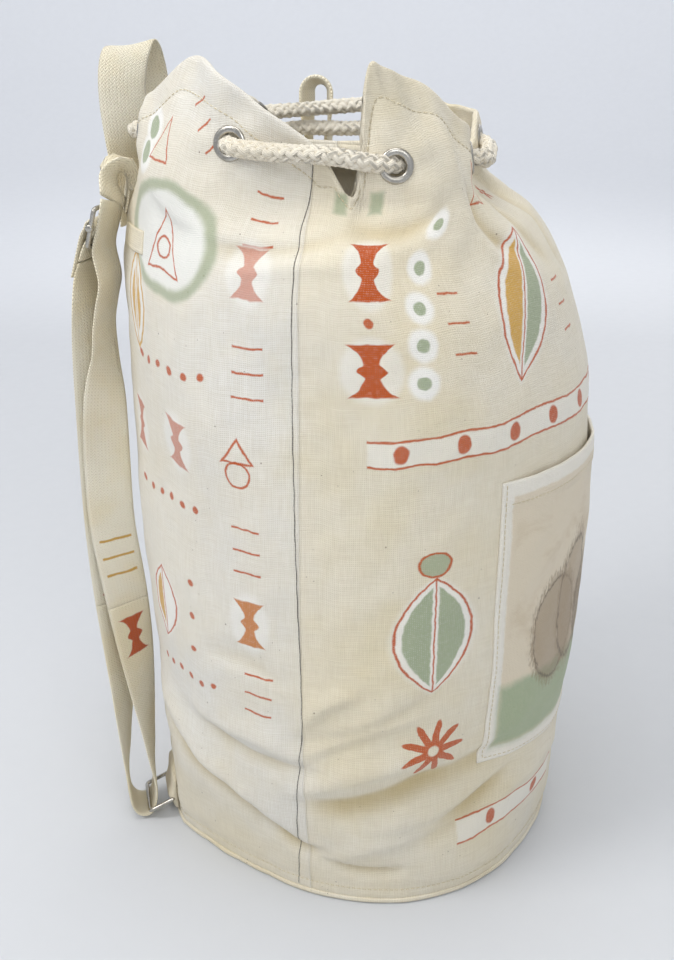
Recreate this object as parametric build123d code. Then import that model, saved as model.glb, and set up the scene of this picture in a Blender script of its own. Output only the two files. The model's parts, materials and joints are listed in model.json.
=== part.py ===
from build123d import *
from math import cos, pi, radians, sin, tan
import os

# Canvas drawstring duffel bag with one webbing shoulder strap, in millimetres, +Z up.
# The origin is the centre of the base, on the floor. The pocket faces -Y, the strap and
# the grab handle are at the back (+Y), and the side seams are at -X and +X.
# "Bearing" is the angle round the bag in degrees: 0 is the -X seam, 90 is the front, -90 the back.

# ---------------------------------------------------------------- driving dimensions
BASE_RADIUS = 142.0
BODY_RADIUS = 155.0
NECK_HEIGHT = 474.0
EAR_HEIGHT = 546.0
CANVAS = 2.5
HEM_FOLD = 1.5
HEM_DEPTH = 20.0
BINDING = 5.0

EYELET_COUNT = 8
EYELET_RADIUS = 10.0
EYELET_HOLE_RADIUS = 5.6
EYELET_WALL = 0.9
EYELET_FLANGE = 1.3

ROPE_RADIUS = 4.5
KNOT_RADIUS = 8.5

WEBBING_WIDTH = 31.0
WEBBING = 2.0
WIRE_RADIUS = 1.5

POCKET_BEARINGS = (47.0, 133.0)
POCKET_HEIGHTS = (102.0, 309.0)
POCKET_GAP = 8.0
POCKET_CLOTH = 2.0
POCKET_MARGIN = 6.0

STRAP_BEARING = -63.0
SLIDE_TWIST = 30.0
SLIDE_WIDTH = 36.0
SLIDE_HALF_HEIGHT = 12.5
BAR_RISE = 2.4
RING_WIDTH = 35.0
RING_PIVOT = (146.2, 17.0)
RING_TOE = (164.5, 8.5)
TAB_RADIUS = 3.2
TAB_WIDTH = 31.0
HANDLE_BEARING = -92.0

os.makedirs("parts", exist_ok=True)


def save(shape, name):
    export_step(shape, f"parts/{name}.step")
    box = shape.bounding_box()
    print(f"{name}: volume {shape.volume:.0f}, z {box.min.Z:.1f} to {box.max.Z:.1f}")


def around(bearing, radius, z):
    """Point at a bearing and radius about the bag's axis."""
    a = radians(bearing)
    return Vector(-radius * cos(a), -radius * sin(a), z)


# ---------------------------------------------------------------- body shape
# Each level: height, then reach of the wall towards near (-X), front (-Y), far (+X), back (+Y).
LEVELS = [
    (BINDING, BASE_RADIUS, BASE_RADIUS, BASE_RADIUS, BASE_RADIUS),
    (40.0, 143.5, 144.5, 144.5, 143.0),
    (90.0, 148.0, 149.0, 149.0, 147.5),
    (160.0, 152.5, 153.0, 153.0, 152.0),
    (240.0, BODY_RADIUS, BODY_RADIUS, BODY_RADIUS, 154.5),
    (330.0, BODY_RADIUS, 154.0, BODY_RADIUS, BODY_RADIUS),
    (400.0, 153.0, 137.0, 150.0, 155.5),
    (448.0, 141.0, 111.0, 130.0, 153.5),
]

# The gathered mouth in plan: eyelets alternate with valleys and ears.
EYELET_PLACES = {
    -157.5: (68, 96, 497),
    -112.5: (8, 133, 499),
    -67.5: (-55, 128, 502),
    -22.5: (-117, 49, 503),
    22.5: (-101, -43, 492),
    67.5: (-42, -74, 489),
    112.5: (32, -68, 490),
    157.5: (84, -17, 495),
}
# Bearing of each fold: plan at the neck, then plan at the top.
FOLDS = {
    -180: ((80, 39), (76, 39)),
    -135: ((46, 127), (36, 100)),
    -90: ((-23, 133), (-23, 121)),
    -45: ((-101, 106), (-84, 80)),
    0: ((-112, 3), (-102, 1)),
    45: ((-88, -79), (-78, -42)),
    90: ((-4, -70), (-4, -58)),
    135: ((74, -56), (60, -40)),
}
VALLEYS = {-180: 478.0, -90: 487.0, 0: 479.0, 90: 482.0}
MOUTH_CENTRE = Vector(-12, 27)
NECK_SPREAD = 4.0
TOP_LEAN = 6.0


def level_ring(level, inset):
    z, near, front, far, back = level
    points = []
    for step in range(16):
        a = radians(22.5 * step - 180)
        reach_x = (near if cos(a) > 0 else far) - inset
        reach_y = (front if sin(a) > 0 else back) - inset
        points.append(Vector(-reach_x * cos(a), -reach_y * sin(a), z))
    return points


def pull_in(x, y, inset):
    """Move a plan point towards the middle of the mouth."""
    out = Vector(x, y) - MOUTH_CENTRE
    return MOUTH_CENTRE + out * ((out.length - inset) / out.length)


def mouth_ring(z, at_top, inset):
    points = []
    for step in range(8):
        fold = FOLDS[45 * step - 180][1 if at_top else 0]
        eyelet = EYELET_PLACES[45 * step - 157.5][:2]
        shift = TOP_LEAN if at_top else -NECK_SPREAD
        for place, extra in ((fold, 0.0), (eyelet, shift)):
            plan = pull_in(*place, inset + extra)
            points.append(Vector(plan.X, plan.Y, z))
    return points


def bag_solid(inset):
    """The closed outer form of the bag, moved in by inset."""
    rings = [level_ring(level, inset) for level in LEVELS]
    rings.append(mouth_ring(NECK_HEIGHT, False, inset))
    rings.append(mouth_ring(EAR_HEIGHT, True, inset))
    return Solid.make_loft([Wire([Spline(*ring, periodic=True)]) for ring in rings], ruled=True)


def valley_cutter(bearing, lowest, drop):
    """V-shaped scoop that lets the rim dip between two ears."""
    middle = Vector(*FOLDS[bearing][0])
    out = (middle - MOUTH_CENTRE).normalized()
    start = Vector(middle.X, middle.Y, 0) - out * 60
    profile = [(-72, 580), (-56, 548), (-30, 518), (0, lowest), (30, 518), (56, 548), (72, 580)]
    plane = Plane(origin=start, x_dir=Vector(-out.Y, out.X, 0), z_dir=out)
    outline = Polyline(*[(along, height - drop) for along, height in profile], close=True)
    return extrude(plane * make_face(outline), 120)


def closest_face(shape, place):
    return min(shape.faces(), key=lambda face: face.distance_to(place))


def skin_plane(place):
    """Plane on the outside of the cloth nearest a place, its z axis pointing out of the bag."""
    skin = closest_face(OUTER, place)
    spot = skin.closest_points(place)[0]
    normal = skin.normal_at(spot)
    middle = Vector(MOUTH_CENTRE.X, MOUTH_CENTRE.Y, spot.Z)
    if normal.dot(spot - middle) < 0:
        normal = normal * -1
    return Plane(origin=spot, z_dir=normal)


OUTER = bag_solid(0)
INNER = bag_solid(CANVAS)
LINING = bag_solid(CANVAS + HEM_FOLD)
CUTTERS = [valley_cutter(bearing, low, 0) for bearing, low in VALLEYS.items()]
LOW_CUTTERS = [valley_cutter(bearing, low, HEM_DEPTH) for bearing, low in VALLEYS.items()]
PLANES = {bearing: skin_plane(Vector(*place)) for bearing, place in EYELET_PLACES.items()}
HOLES = [plane * Cylinder(EYELET_HOLE_RADIUS + EYELET_WALL, 26) for plane in PLANES.values()]

# ---------------------------------------------------------------- eyelets
def eyelet(plane):
    """Rolled flange outside the cloth with the barrel that goes through it."""
    length = CANVAS + HEM_FOLD + EYELET_FLANGE
    barrel = Pos(0, 0, EYELET_FLANGE - length / 2) * Cylinder(EYELET_HOLE_RADIUS + EYELET_WALL, length)
    flange = Pos(0, 0, EYELET_FLANGE / 2) * Cylinder(EYELET_RADIUS, EYELET_FLANGE)
    return plane * (barrel + flange - Cylinder(EYELET_HOLE_RADIUS, 40))


def washer(plane):
    """Flat ring that the barrel is set over, on the inside of the hem."""
    disc = Pos(0, 0, -CANVAS - HEM_FOLD - 0.5) * Cylinder(EYELET_RADIUS - 0.5, 1.0)
    return plane * (disc - Cylinder(EYELET_HOLE_RADIUS + EYELET_WALL, 40))


for number, plane in enumerate(PLANES.values(), start=1):
    save(eyelet(plane), f"eyelet_{number}")
save(Compound([washer(plane) for plane in PLANES.values()]), "eyelet_washers")


# ---------------------------------------------------------------- drawstring
# One braided rope, from the stopper knot at one tail to the knot at the other: outside the cloth
# across the four valleys, inside it behind the four ears.
ROPE_ROUTE = [
    (129, -43, 455), (120, -35, 471), (109, -20, 488), (101, -2, 502), (97, 20, 504),
    (92, 44, 502), (86, 66, 500), (80, 82, 499), (75, 95, 498), (60, 96, 497), (44, 106, 495),
    (27, 117, 496), (12, 126, 499), (5, 139, 500), (-14, 140, 495), (-34, 138, 497),
    (-53, 136, 501), (-57, 119, 502), (-70, 98, 499), (-89, 74, 500), (-109, 54, 503),
    (-125, 46, 502), (-122, 22, 496), (-116, -8, 492), (-110, -34, 493), (-93, -46, 492),
    (-80, -52, 489), (-63, -61, 488), (-47, -67, 489), (-38, -83, 490), (-16, -82, 485),
    (8, -79, 484), (28, -77, 489), (34, -60, 491), (46, -49, 491), (60, -35, 492),
    (76, -22, 495), (92, -13, 494), (94, 8, 489), (94, 30, 487), (92, 52, 487), (90, 72, 487),
    (92, 90, 483), (95, 101, 470), (99, 110, 458), (102, 114, 449),
]


def rope_radii(points):
    """As large an arc at each corner as its two runs allow."""
    radii = []
    for before, corner, after in zip(points, points[1:], points[2:]):
        first, second = corner - before, after - corner
        half_turn = radians(first.get_angle(second)) / 2
        radii.append(0.45 * min(first.length, second.length) / tan(half_turn))
    return radii


rope_points = [Vector(*point) for point in ROPE_ROUTE]
radii = rope_radii(rope_points)
print("rope radii", [round(radius) for radius in radii])
rope_path = FilletPolyline(*rope_points, radius=radii)
rope_start = Plane(origin=rope_path @ 0, z_dir=rope_path % 0)
rope = sweep(rope_start * Circle(ROPE_RADIUS), path=rope_path)
print(f"rope length {rope_path.length:.0f}, by volume {rope.volume / (pi * ROPE_RADIUS ** 2):.0f}")
save(rope, "drawstring")
for number, end in enumerate((rope_points[0], rope_points[-1]), start=1):
    save(Pos(*end) * Sphere(KNOT_RADIUS), f"drawstring_knot_{number}")


# ---------------------------------------------------------------- base
binding = Pos(0, 0, BINDING / 2) * (Cylinder(BASE_RADIUS, BINDING) - Cylinder(BASE_RADIUS - BINDING, BINDING))
save(chamfer(binding.faces().sort_by(Axis.Z)[0].outer_wire().edges(), 1.2), "base_binding")
save(Pos(0, 0, CANVAS / 2) * Cylinder(BASE_RADIUS - BINDING, CANVAS), "base_disc")


# ---------------------------------------------------------------- webbing
def frame_at(bearing):
    """Unit vectors at a bearing: out of the bag, and sideways towards the next bearing."""
    a = radians(bearing)
    return Vector(-cos(a), -sin(a), 0), Vector(sin(a), -cos(a), 0)


def ribbon(stations, bearing):
    """Webbing through stations of radius, sideways offset, height and twist in degrees."""
    out, side = frame_at(bearing)
    centres = [out * r + side * s + Vector(0, 0, z) for r, s, z, _ in stations]
    widths = [side * cos(radians(twist)) + out * sin(radians(twist)) for *_, twist in stations]
    return band(centres, widths)


def band(centres, widths):
    sections = []
    for number, (centre, width) in enumerate(zip(centres, widths)):
        ahead = centres[min(number + 1, len(centres) - 1)]
        behind = centres[max(number - 1, 0)]
        along = ahead - behind
        along = (along - width * along.dot(width)).normalized()
        plane = Plane(origin=centre, x_dir=width, z_dir=along)
        sections.append(plane * Rectangle(WEBBING_WIDTH, WEBBING))
    return loft(sections, ruled=True)


def rod(*points):
    """Round wire along straight legs with ball corners."""
    wire = [Pos(*point) * Sphere(WIRE_RADIUS) for point in points]
    for start, end in zip(points, points[1:]):
        leg = end - start
        plane = Plane(origin=(start + end) / 2, z_dir=leg)
        wire.append(plane * Cylinder(WIRE_RADIUS, leg.length))
    return wire[0] + wire[1:]


out, side = frame_at(STRAP_BEARING)
twist = radians(SLIDE_TWIST)
slide_width_dir = side * cos(twist) + out * sin(twist)
slide_down = out * 0.30 - Vector(0, 0, 0.95)
slide_down = (slide_down - slide_width_dir * slide_down.dot(slide_width_dir)).normalized()
slide_plane = Plane(
    origin=out * 169 - side * 3 + Vector(0, 0, 446),
    x_dir=slide_width_dir * -1,
    z_dir=slide_width_dir.cross(slide_down),
)


def on_slide(across, up, inward):
    return slide_plane.from_local_coords(Vector(across, up, inward))


# Three-bar slide: top and bottom bars stand a little inward of the centre bar.
half = SLIDE_WIDTH / 2
loop = [(-half, SLIDE_HALF_HEIGHT), (half, SLIDE_HALF_HEIGHT), (half, 0), (half, -SLIDE_HALF_HEIGHT),
        (-half, -SLIDE_HALF_HEIGHT), (-half, 0), (-half, SLIDE_HALF_HEIGHT)]
corners = [on_slide(x, y, BAR_RISE if y else 0.0) for x, y in loop]
slide = rod(*corners) + rod(corners[2], corners[5])
save(slide, "strap_slide")

# The sewn end of the strap wraps the centre bar and lies back on itself.
FOLD_PROFILE = [(-36, -6.0), (-18, -5.4), (-7, -4.7), (-2, -3.2), (1.5, -2.6), (3.2, -0.6), (2.6, 1.7),
                (0.5, 2.9), (-3, 2.8), (-7, 1.2), (-12, -1.1), (-18, -2.3), (-24, -2.8)]
fold_centres = [on_slide(0, up, inward) for up, inward in FOLD_PROFILE]
save(band(fold_centres, [slide_width_dir] * len(fold_centres)), "strap_bar_fold")


def station(point, turn):
    """A place in strap stations: radius, sideways offset, height, twist."""
    return (point.dot(out), point.dot(side), point.Z, turn)


slide_top = station(on_slide(0, 15, 5.2), SLIDE_TWIST)
slide_middle = station(on_slide(0, 0, 5.2), SLIDE_TWIST)
slide_bottom = station(on_slide(0, -15, 5.2), SLIDE_TWIST)
back_join = [station(on_slide(0, up, inward), SLIDE_TWIST) for up, inward in ((-31, -3.4), (-25.6, -2.9))]

TOP_RUN = [(152.9, -22, 450, 0), (150.6, -22, 460, 0), (149.6, -21, 468, 2), (151.2, -18, 474, 8),
           (155.5, -12, 475.5, 18), (159, -7, 471, 26), slide_top]
FRONT_RUN = [slide_top, slide_middle, slide_bottom, (168.5, 0, 412, 37), (171.5, 2, 375, 58),
             (174.5, 3, 330, 79), (176.5, 4, 285, 85), (176, 5, 240, 82), (172, 6, 203, 75),
             (169.5, 6, 180, 68)]
LOWER_BEND = [(169.5, 6, 180, 68), (166.5, 6, 150, 55), (163.5, 5, 115, 38), (161, 3, 80, 22),
              (159.5, 1, 50, 10), (158.8, 0, 28, 0), (159.6, 0, 14, 0), (162, 0, 6.6, 0),
              (166.5, 0, 3.4, 0), (172, 0, 4.6, 0), (176, 0, 10, 0), (178, 0, 20, 0),
              (178.4, 0, 35, 3), (178, 0, 50, 10), (177.5, 0, 80, 22), (176.5, 0, 115, 38),
              (176.5, 0, 150, 55), (177.5, 0, 180, 68)]
BACK_RUN = [(177.5, 0, 180, 68), (178.5, -1, 203, 75), (179.5, -2, 240, 82), (179.5, -3, 285, 85),
            (179, -5, 330, 79), (179.5, -7, 375, 58), (180.5, -6.5, 398, 40)] + back_join
save(ribbon(TOP_RUN, STRAP_BEARING), "strap_top_run")
save(ribbon(FRONT_RUN, STRAP_BEARING), "strap_front_run")
save(ribbon(LOWER_BEND, STRAP_BEARING), "strap_lower_bend")
save(ribbon(BACK_RUN, STRAP_BEARING), "strap_back_run")


def tangent_plane(bearing, radius, sideways, z):
    """Plane that faces out of the bag, x sideways and y up."""
    facing, across = frame_at(bearing)
    spot = facing * radius + across * sideways + Vector(0, 0, z)
    return Plane(origin=spot, x_dir=Vector(0, 0, 1).cross(facing), z_dir=facing)


save(tangent_plane(STRAP_BEARING, 153.6, -22, 439) * Box(38, 14, 1.2), "strap_anchor_patch")

# ---------------------------------------------------------------- bottom ring and its tab
pivot_r, pivot_z = RING_PIVOT
toe_r, toe_z = RING_TOE
reach = RING_WIDTH / 2
pivots = [out * pivot_r + side * s + Vector(0, 0, pivot_z) for s in (-reach, reach)]
toes = [out * toe_r + side * s + Vector(0, 0, toe_z) for s in (-reach, reach)]
save(rod(pivots[0], pivots[1], toes[1], toes[0], pivots[0]), "strap_ring")

tab_plane = Plane(origin=out * pivot_r + Vector(0, 0, pivot_z), x_dir=out, z_dir=side)
tunnel = Cylinder(TAB_RADIUS, TAB_WIDTH) - Cylinder(WIRE_RADIUS + 0.3, TAB_WIDTH + 2)
flap = tangent_plane(STRAP_BEARING, 144.9, 0, 31) * Box(TAB_WIDTH + 6, 23, 2.2)
root = tangent_plane(STRAP_BEARING, 144.6, 0, 9) * Box(TAB_WIDTH, 11, 3.0)
tab_bore = tab_plane * Cylinder(WIRE_RADIUS + 0.3, TAB_WIDTH + 12)
save((tab_plane * tunnel) + flap + root - tab_bore, "strap_tab")

# ---------------------------------------------------------------- grab handle
LEG_SPREAD = 20.0
NEAR_LEG = [(157.6, LEG_SPREAD, 434, 0), (157.6, LEG_SPREAD, 452, 0), (158.0, LEG_SPREAD, 470, 14),
            (157.0, 20, 490, 34), (155.5, 19, 512, 52), (154, 16, 530, 60), (153.2, 9, 542, 62),
            (153, 0, 546, 62)]
FAR_LEG = [(r, -s, z, twist) for r, s, z, twist in reversed(NEAR_LEG[:-1])]
save(ribbon(NEAR_LEG + FAR_LEG, HANDLE_BEARING), "carry_handle")
save(tangent_plane(HANDLE_BEARING, 154.7, 0, 443) * Box(70, 20, 1.2), "handle_patch")

# ---------------------------------------------------------------- hanging loop
LOOP_WIDTH = 23.0
LOOP_CLOTH = 3.0
LOOP_TOP = 522.0
LOOP_CENTRE = (108.0, 61.0)
LOOP_DEPTH = 18.0
arch_height = LOOP_TOP - 440
arch = Pos(0, -arch_height / 2) * SlotOverall(2 * arch_height, LOOP_WIDTH, rotation=90)
hole = Pos(0, -arch_height / 2) * SlotOverall(2 * arch_height - 2 * LOOP_CLOTH,
                                              LOOP_WIDTH - 2 * LOOP_CLOTH, rotation=90)
loop_plane = Plane(origin=(LOOP_CENTRE[0], LOOP_CENTRE[1], LOOP_TOP - arch_height / 2), x_dir=(0, 1, 0),
                   z_dir=(1, 0, 0))
strip = extrude(loop_plane * (arch - hole), LOOP_DEPTH / 2, both=True)
above = Pos(0, 0, 540) * Box(400, 400, 180)
save((strip & above) - bag_solid(-0.6), "hanging_loop")

# ---------------------------------------------------------------- canvas body
shell = OUTER - INNER - CUTTERS - HOLES
lining = INNER - LINING
low_cut = LOW_CUTTERS[0] + LOW_CUTTERS[1:]
hem = (lining & low_cut) - CUTTERS - HOLES
front_half = Pos(0, -200, 300) * Box(400, 400, 620)
back_half = Pos(0, 200, 300) * Box(400, 400, 620)
for name, cloth in (("panel", shell), ("hem", hem)):
    label = "rim_hem_" if name == "hem" else ""
    suffix = "" if name == "hem" else "_panel"
    save(cloth & front_half, f"{label}front{suffix}")
    save(cloth & back_half, f"{label}back{suffix}")

# Seam allowances run up the inside of both side seams, from the base to below the hem.
SEAM_TOP = 440.0
for bearing, name in ((0, "side_seam_near"), (180, "side_seam_far")):
    middle = around(bearing, 145, (SEAM_TOP + 8) / 2)
    strip = Pos(*middle) * Box(80, 14, SEAM_TOP - 8)
    save(lining & strip, name)

# ---------------------------------------------------------------- front pocket
low, high = POCKET_HEIGHTS
first, last = POCKET_BEARINGS


def sector(start, end, bottom, top):
    """Wedge of the round body between two bearings and two heights."""
    count = 8
    rim = [around(start + (end - start) * k / count, 260, 0) for k in range(count + 1)]
    outline = Polyline(Vector(0, 0, 0), *rim, close=True)
    return Pos(0, 0, bottom) * extrude(make_face(outline), top - bottom)


margin = POCKET_MARGIN / (BODY_RADIUS * pi / 180)
pocket_outer = bag_solid(-POCKET_GAP - POCKET_CLOTH) & sector(first, last, low, high)
pocket_space = bag_solid(-POCKET_GAP) & sector(first + margin, last - margin, low + POCKET_MARGIN, high + 5)
hem_zone = sector(first + margin, last - margin, high - 18, high)
pocket = pocket_outer - pocket_space - OUTER
save(pocket, "front_pocket")
hem_skin = (bag_solid(-POCKET_GAP) - bag_solid(-POCKET_GAP + 1.2)) & hem_zone
save(hem_skin, "pocket_hem")
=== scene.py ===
import json
from math import cos, pi, radians, sin

import bmesh
import bpy
import numpy as np
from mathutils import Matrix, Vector

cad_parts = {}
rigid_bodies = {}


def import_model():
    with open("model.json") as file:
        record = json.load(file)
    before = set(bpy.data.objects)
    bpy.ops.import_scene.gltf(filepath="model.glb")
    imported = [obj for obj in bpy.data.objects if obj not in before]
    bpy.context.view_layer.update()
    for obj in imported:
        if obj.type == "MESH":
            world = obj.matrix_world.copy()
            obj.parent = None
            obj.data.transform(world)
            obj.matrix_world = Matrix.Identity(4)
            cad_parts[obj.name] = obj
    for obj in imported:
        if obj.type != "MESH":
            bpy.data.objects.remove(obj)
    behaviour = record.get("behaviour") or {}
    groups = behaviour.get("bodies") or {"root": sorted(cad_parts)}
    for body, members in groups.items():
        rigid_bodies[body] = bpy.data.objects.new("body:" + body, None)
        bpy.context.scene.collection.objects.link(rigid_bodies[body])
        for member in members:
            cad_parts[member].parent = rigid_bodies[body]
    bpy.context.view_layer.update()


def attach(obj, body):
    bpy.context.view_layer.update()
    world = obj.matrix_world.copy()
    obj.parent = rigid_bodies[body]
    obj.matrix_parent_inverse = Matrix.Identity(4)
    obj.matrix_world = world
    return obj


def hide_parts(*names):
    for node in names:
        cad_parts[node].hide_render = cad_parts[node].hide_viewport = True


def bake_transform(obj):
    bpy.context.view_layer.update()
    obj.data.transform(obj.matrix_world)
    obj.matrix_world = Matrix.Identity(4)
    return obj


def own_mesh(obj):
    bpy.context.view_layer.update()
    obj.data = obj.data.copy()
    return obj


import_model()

MM = 0.001

# Canvas drawstring duffel bag. Lengths in the tables below are millimetres, the same numbers as
# the CAD part; a bearing is degrees round the bag: 0 the -X seam, 90 the front, -90 the back.
# Millimetres round the 155 mm body for one degree of bearing, and metres of cloth for the same.
MM_PER_DEGREE = 2.705
U_PER_DEGREE = 0.155 * pi / 180


def in_scene(name, data):
    """New object with its mesh, curve, camera or light, in the scene."""
    obj = bpy.data.objects.new(name, data)
    bpy.context.collection.objects.link(obj)
    return obj


# ================================================================ camera
def make_camera():
    data = bpy.data.cameras.new("camera")
    data.lens = 46.9
    data.sensor_width = 36
    camera = in_scene("camera", data)
    camera.location = (-0.798, -0.196, 0.600)
    heading, pitch = radians(15), radians(22.7)
    look = Vector((cos(heading) * cos(pitch), sin(heading) * cos(pitch), -sin(pitch)))
    camera.rotation_euler = look.to_track_quat("-Z", "Y").to_euler()
    bpy.context.scene.camera = camera


make_camera()


# ================================================================ small numeric helpers
def unit(v):
    return v / np.maximum(np.linalg.norm(v, axis=-1, keepdims=True), 1e-12)


def smooth(x, low, high):
    t = np.clip((x - low) / (high - low), 0, 1)
    return t * t * (3 - 2 * t)


def around(angles, side, other):
    """Directions at angles in the plane of side and other, one row per angle."""
    return np.cos(angles)[:, None] * side + np.sin(angles)[:, None] * other


def hermite(t, start, start_slope, end, end_slope):
    """Cubic from start to end with the given slopes, at t from 0 to 1."""
    return ((2 * t ** 3 - 3 * t ** 2 + 1) * start + (t ** 3 - 2 * t ** 2 + t) * start_slope
            + (3 * t ** 2 - 2 * t ** 3) * end + (t ** 3 - t ** 2) * end_slope)


def run_along(line):
    """Length from the first row of a line to each row."""
    steps = np.linalg.norm(np.diff(np.asarray(line)[:, :3], axis=0), axis=1)
    return np.concatenate([[0], np.cumsum(steps)])


def span(knots, at):
    """Which gap between the knots each value falls in, the gap's width and the share of it passed."""
    k = np.clip(np.searchsorted(knots, at, "right") - 1, 0, len(knots) - 2)
    width = knots[k + 1] - knots[k]
    return k, width, (at - knots[k]) / width


def periodic(values, at):
    """Cyclic cubic through values at whole numbers, sampled at at. values is (n, ...)."""
    n = len(values)
    matrix = np.eye(n) * 4 + np.roll(np.eye(n), 1, 0) + np.roll(np.eye(n), -1, 0)
    flat = values.reshape(n, -1)
    slopes = np.linalg.solve(matrix, 3 * (np.roll(flat, -1, 0) - np.roll(flat, 1, 0)))
    k = np.floor(at).astype(int)
    t = (at - k)[:, None]
    a, b = k % n, (k + 1) % n
    return hermite(t, flat[a], slopes[a], flat[b], slopes[b]).reshape((len(at),) + values.shape[1:])


def hermite_slopes(x, y):
    """Slopes that never overshoot (Fritsch and Butland), along the first axis."""
    step = np.diff(x)[(...,) + (None,) * (y.ndim - 1)]
    rise = np.diff(y, axis=0) / step
    slopes = np.zeros_like(y)
    before, after = rise[:-1], rise[1:]
    same = before * after > 0
    w1, w2 = 2 * step[1:] + step[:-1], step[1:] + 2 * step[:-1]
    safe_b, safe_a = np.where(same, before, 1), np.where(same, after, 1)
    slopes[1:-1] = np.where(same, (w1 + w2) / (w1 / safe_b + w2 / safe_a), 0)
    slopes[0], slopes[-1] = rise[0], rise[-1]
    return slopes


def monotone(x, y, at):
    """Monotone cubic through (x, y), sampled at at; y is (n,) or (n, k)."""
    x, y = np.asarray(x, float), np.asarray(y, float)
    slopes = hermite_slopes(x, y)
    k, width, t = span(x, np.asarray(at, float))
    if y.ndim > 1:
        t, width = t[..., None], width[..., None]
    return hermite(t, y[k], width * slopes[k], y[k + 1], width * slopes[k + 1])


def catmull(points, count):
    """Smooth open curve through rows of numbers, count samples spaced evenly by length."""
    p = np.asarray(points, float)
    gaps = np.linalg.norm(np.diff(p[:, :3], axis=0), axis=1) ** 0.5
    knots = np.concatenate([[0], np.cumsum(gaps)])
    slopes = np.gradient(p, knots, axis=0)
    fine = np.linspace(0, knots[-1], len(p) * 40)
    k, width, t = span(knots, fine)
    t, width = t[:, None], width[:, None]
    return resample(hermite(t, p[k], width * slopes[k], p[k + 1], width * slopes[k + 1]), count)


def resample(line, count):
    line = np.asarray(line, float)
    length = run_along(line)
    even = np.linspace(0, length[-1], count)
    return np.stack([np.interp(even, length, line[:, c]) for c in range(line.shape[1])], 1)


def line_length(line):
    return float(run_along(line)[-1])


class Ripple:
    """Repeatable smooth noise from a few sine waves, about -1 to 1."""

    def __init__(self, seed, scale, waves=9):
        rng = np.random.default_rng(seed)
        angle = rng.uniform(0, 2 * pi, waves)
        pace = rng.uniform(0.5, 1.5, waves) / scale * 2 * pi
        self.kx, self.ky = pace * np.cos(angle), pace * np.sin(angle)
        self.phase = rng.uniform(0, 2 * pi, waves)
        self.waves = waves

    def __call__(self, x, y):
        total = 0
        for kx, ky, phase in zip(self.kx, self.ky, self.phase):
            total = total + np.sin(kx * x + ky * y + phase)
        return total / self.waves ** 0.5


# ================================================================ mesh helpers
def new_object(name, verts, faces, uvs):
    """Smooth shaded mesh object; uvs is one (u, v) per vertex."""
    mesh = bpy.data.meshes.new(name)
    mesh.from_pydata([tuple(v) for v in verts], [], [tuple(f) for f in faces])
    loops = np.zeros(len(mesh.loops), np.int32)
    mesh.loops.foreach_get("vertex_index", loops)
    mesh.uv_layers.new(name="UVMap").data.foreach_set("uv", np.asarray(uvs, np.float32)[loops].ravel())
    mesh.polygons.foreach_set("use_smooth", [True] * len(mesh.polygons))
    mesh.update()
    return in_scene(name, mesh)


def grid_faces(rows, columns, wrap_rows=False, wrap_columns=False):
    r = np.arange(rows if wrap_rows else rows - 1)
    c = np.arange(columns if wrap_columns else columns - 1)
    rr, cc = np.meshgrid(r, c, indexing="ij")
    r2, c2 = (rr + 1) % rows, (cc + 1) % columns
    quads = np.stack([rr * columns + cc, rr * columns + c2, r2 * columns + c2, r2 * columns + cc], -1)
    return quads.reshape(-1, 4)


def two_faced(name, outer, inner, uvs):
    """Closed sheet from two grids of points (rows, columns, 3), joined all round their border."""
    rows, columns = outer.shape[:2]
    n = rows * columns
    quads = grid_faces(rows, columns)
    faces = quads.tolist() + (quads[:, ::-1] + n).tolist()
    ring = list(range(columns)) + [columns * (r + 1) - 1 for r in range(1, rows)]
    ring += [n - 1 - k for k in range(1, columns)] + [columns * r for r in range(rows - 2, 0, -1)]
    faces += [[b, a, a + n, b + n] for a, b in zip(ring, ring[1:] + ring[:1])]
    points = np.concatenate([outer.reshape(-1, 3), inner.reshape(-1, 3)])
    return new_object(name, points, faces, np.concatenate([uvs, uvs]))


class Heap:
    """Collects several small closed shapes into one mesh."""

    def __init__(self):
        self.verts, self.faces, self.uvs = [], [], []
        self.count = 0

    def add(self, verts, faces, uvs=None):
        verts = np.asarray(verts, float)
        self.verts.append(verts)
        self.faces += [[i + self.count for i in face] for face in faces]
        self.uvs.append(np.zeros((len(verts), 2)) if uvs is None else np.asarray(uvs, float))
        self.count += len(verts)

    def tube(self, line, radius, sides=8, squash=1.0, up=None, caps=True, taper=None):
        """Round tube along a line; taper gives a radius factor per point."""
        line = np.asarray(line, float)
        ahead = unit(np.gradient(line, axis=0))
        normals = carried_frame(ahead, up)
        across = np.cross(ahead, normals)
        a = np.linspace(0, 2 * pi, sides, endpoint=False)
        scale = np.ones(len(line)) if taper is None else np.asarray(taper, float)
        ring = around(a, across[:, None], normals[:, None] * squash)
        verts = line[:, None] + ring * (radius * scale)[:, None, None]
        faces = [list(f) for f in grid_faces(len(line), sides, wrap_columns=True)]
        uvs = np.stack(np.broadcast_arrays(a[None] * radius, run_along(line)[:, None]), -1).reshape(-1, 2)
        if caps:
            faces.append(list(range(sides))[::-1])
            faces.append([(len(line) - 1) * sides + k for k in range(sides)])
        self.add(verts.reshape(-1, 3), faces, uvs)

    def object(self, name):
        return new_object(name, np.concatenate(self.verts), self.faces, np.concatenate(self.uvs))


def carried_frame(ahead, up=None):
    """Normals carried along a line without twist."""
    first = np.array(up if up is not None else (0, 0, 1), float)
    if abs(first @ ahead[0]) > 0.95:
        first = np.array([0.3, 1, 0.2])
    normals = np.zeros_like(ahead)
    n = unit(first - ahead[0] * (first @ ahead[0]))
    for k in range(len(ahead)):
        n = unit(n - ahead[k] * (n @ ahead[k]))
        normals[k] = n
    return normals


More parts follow.
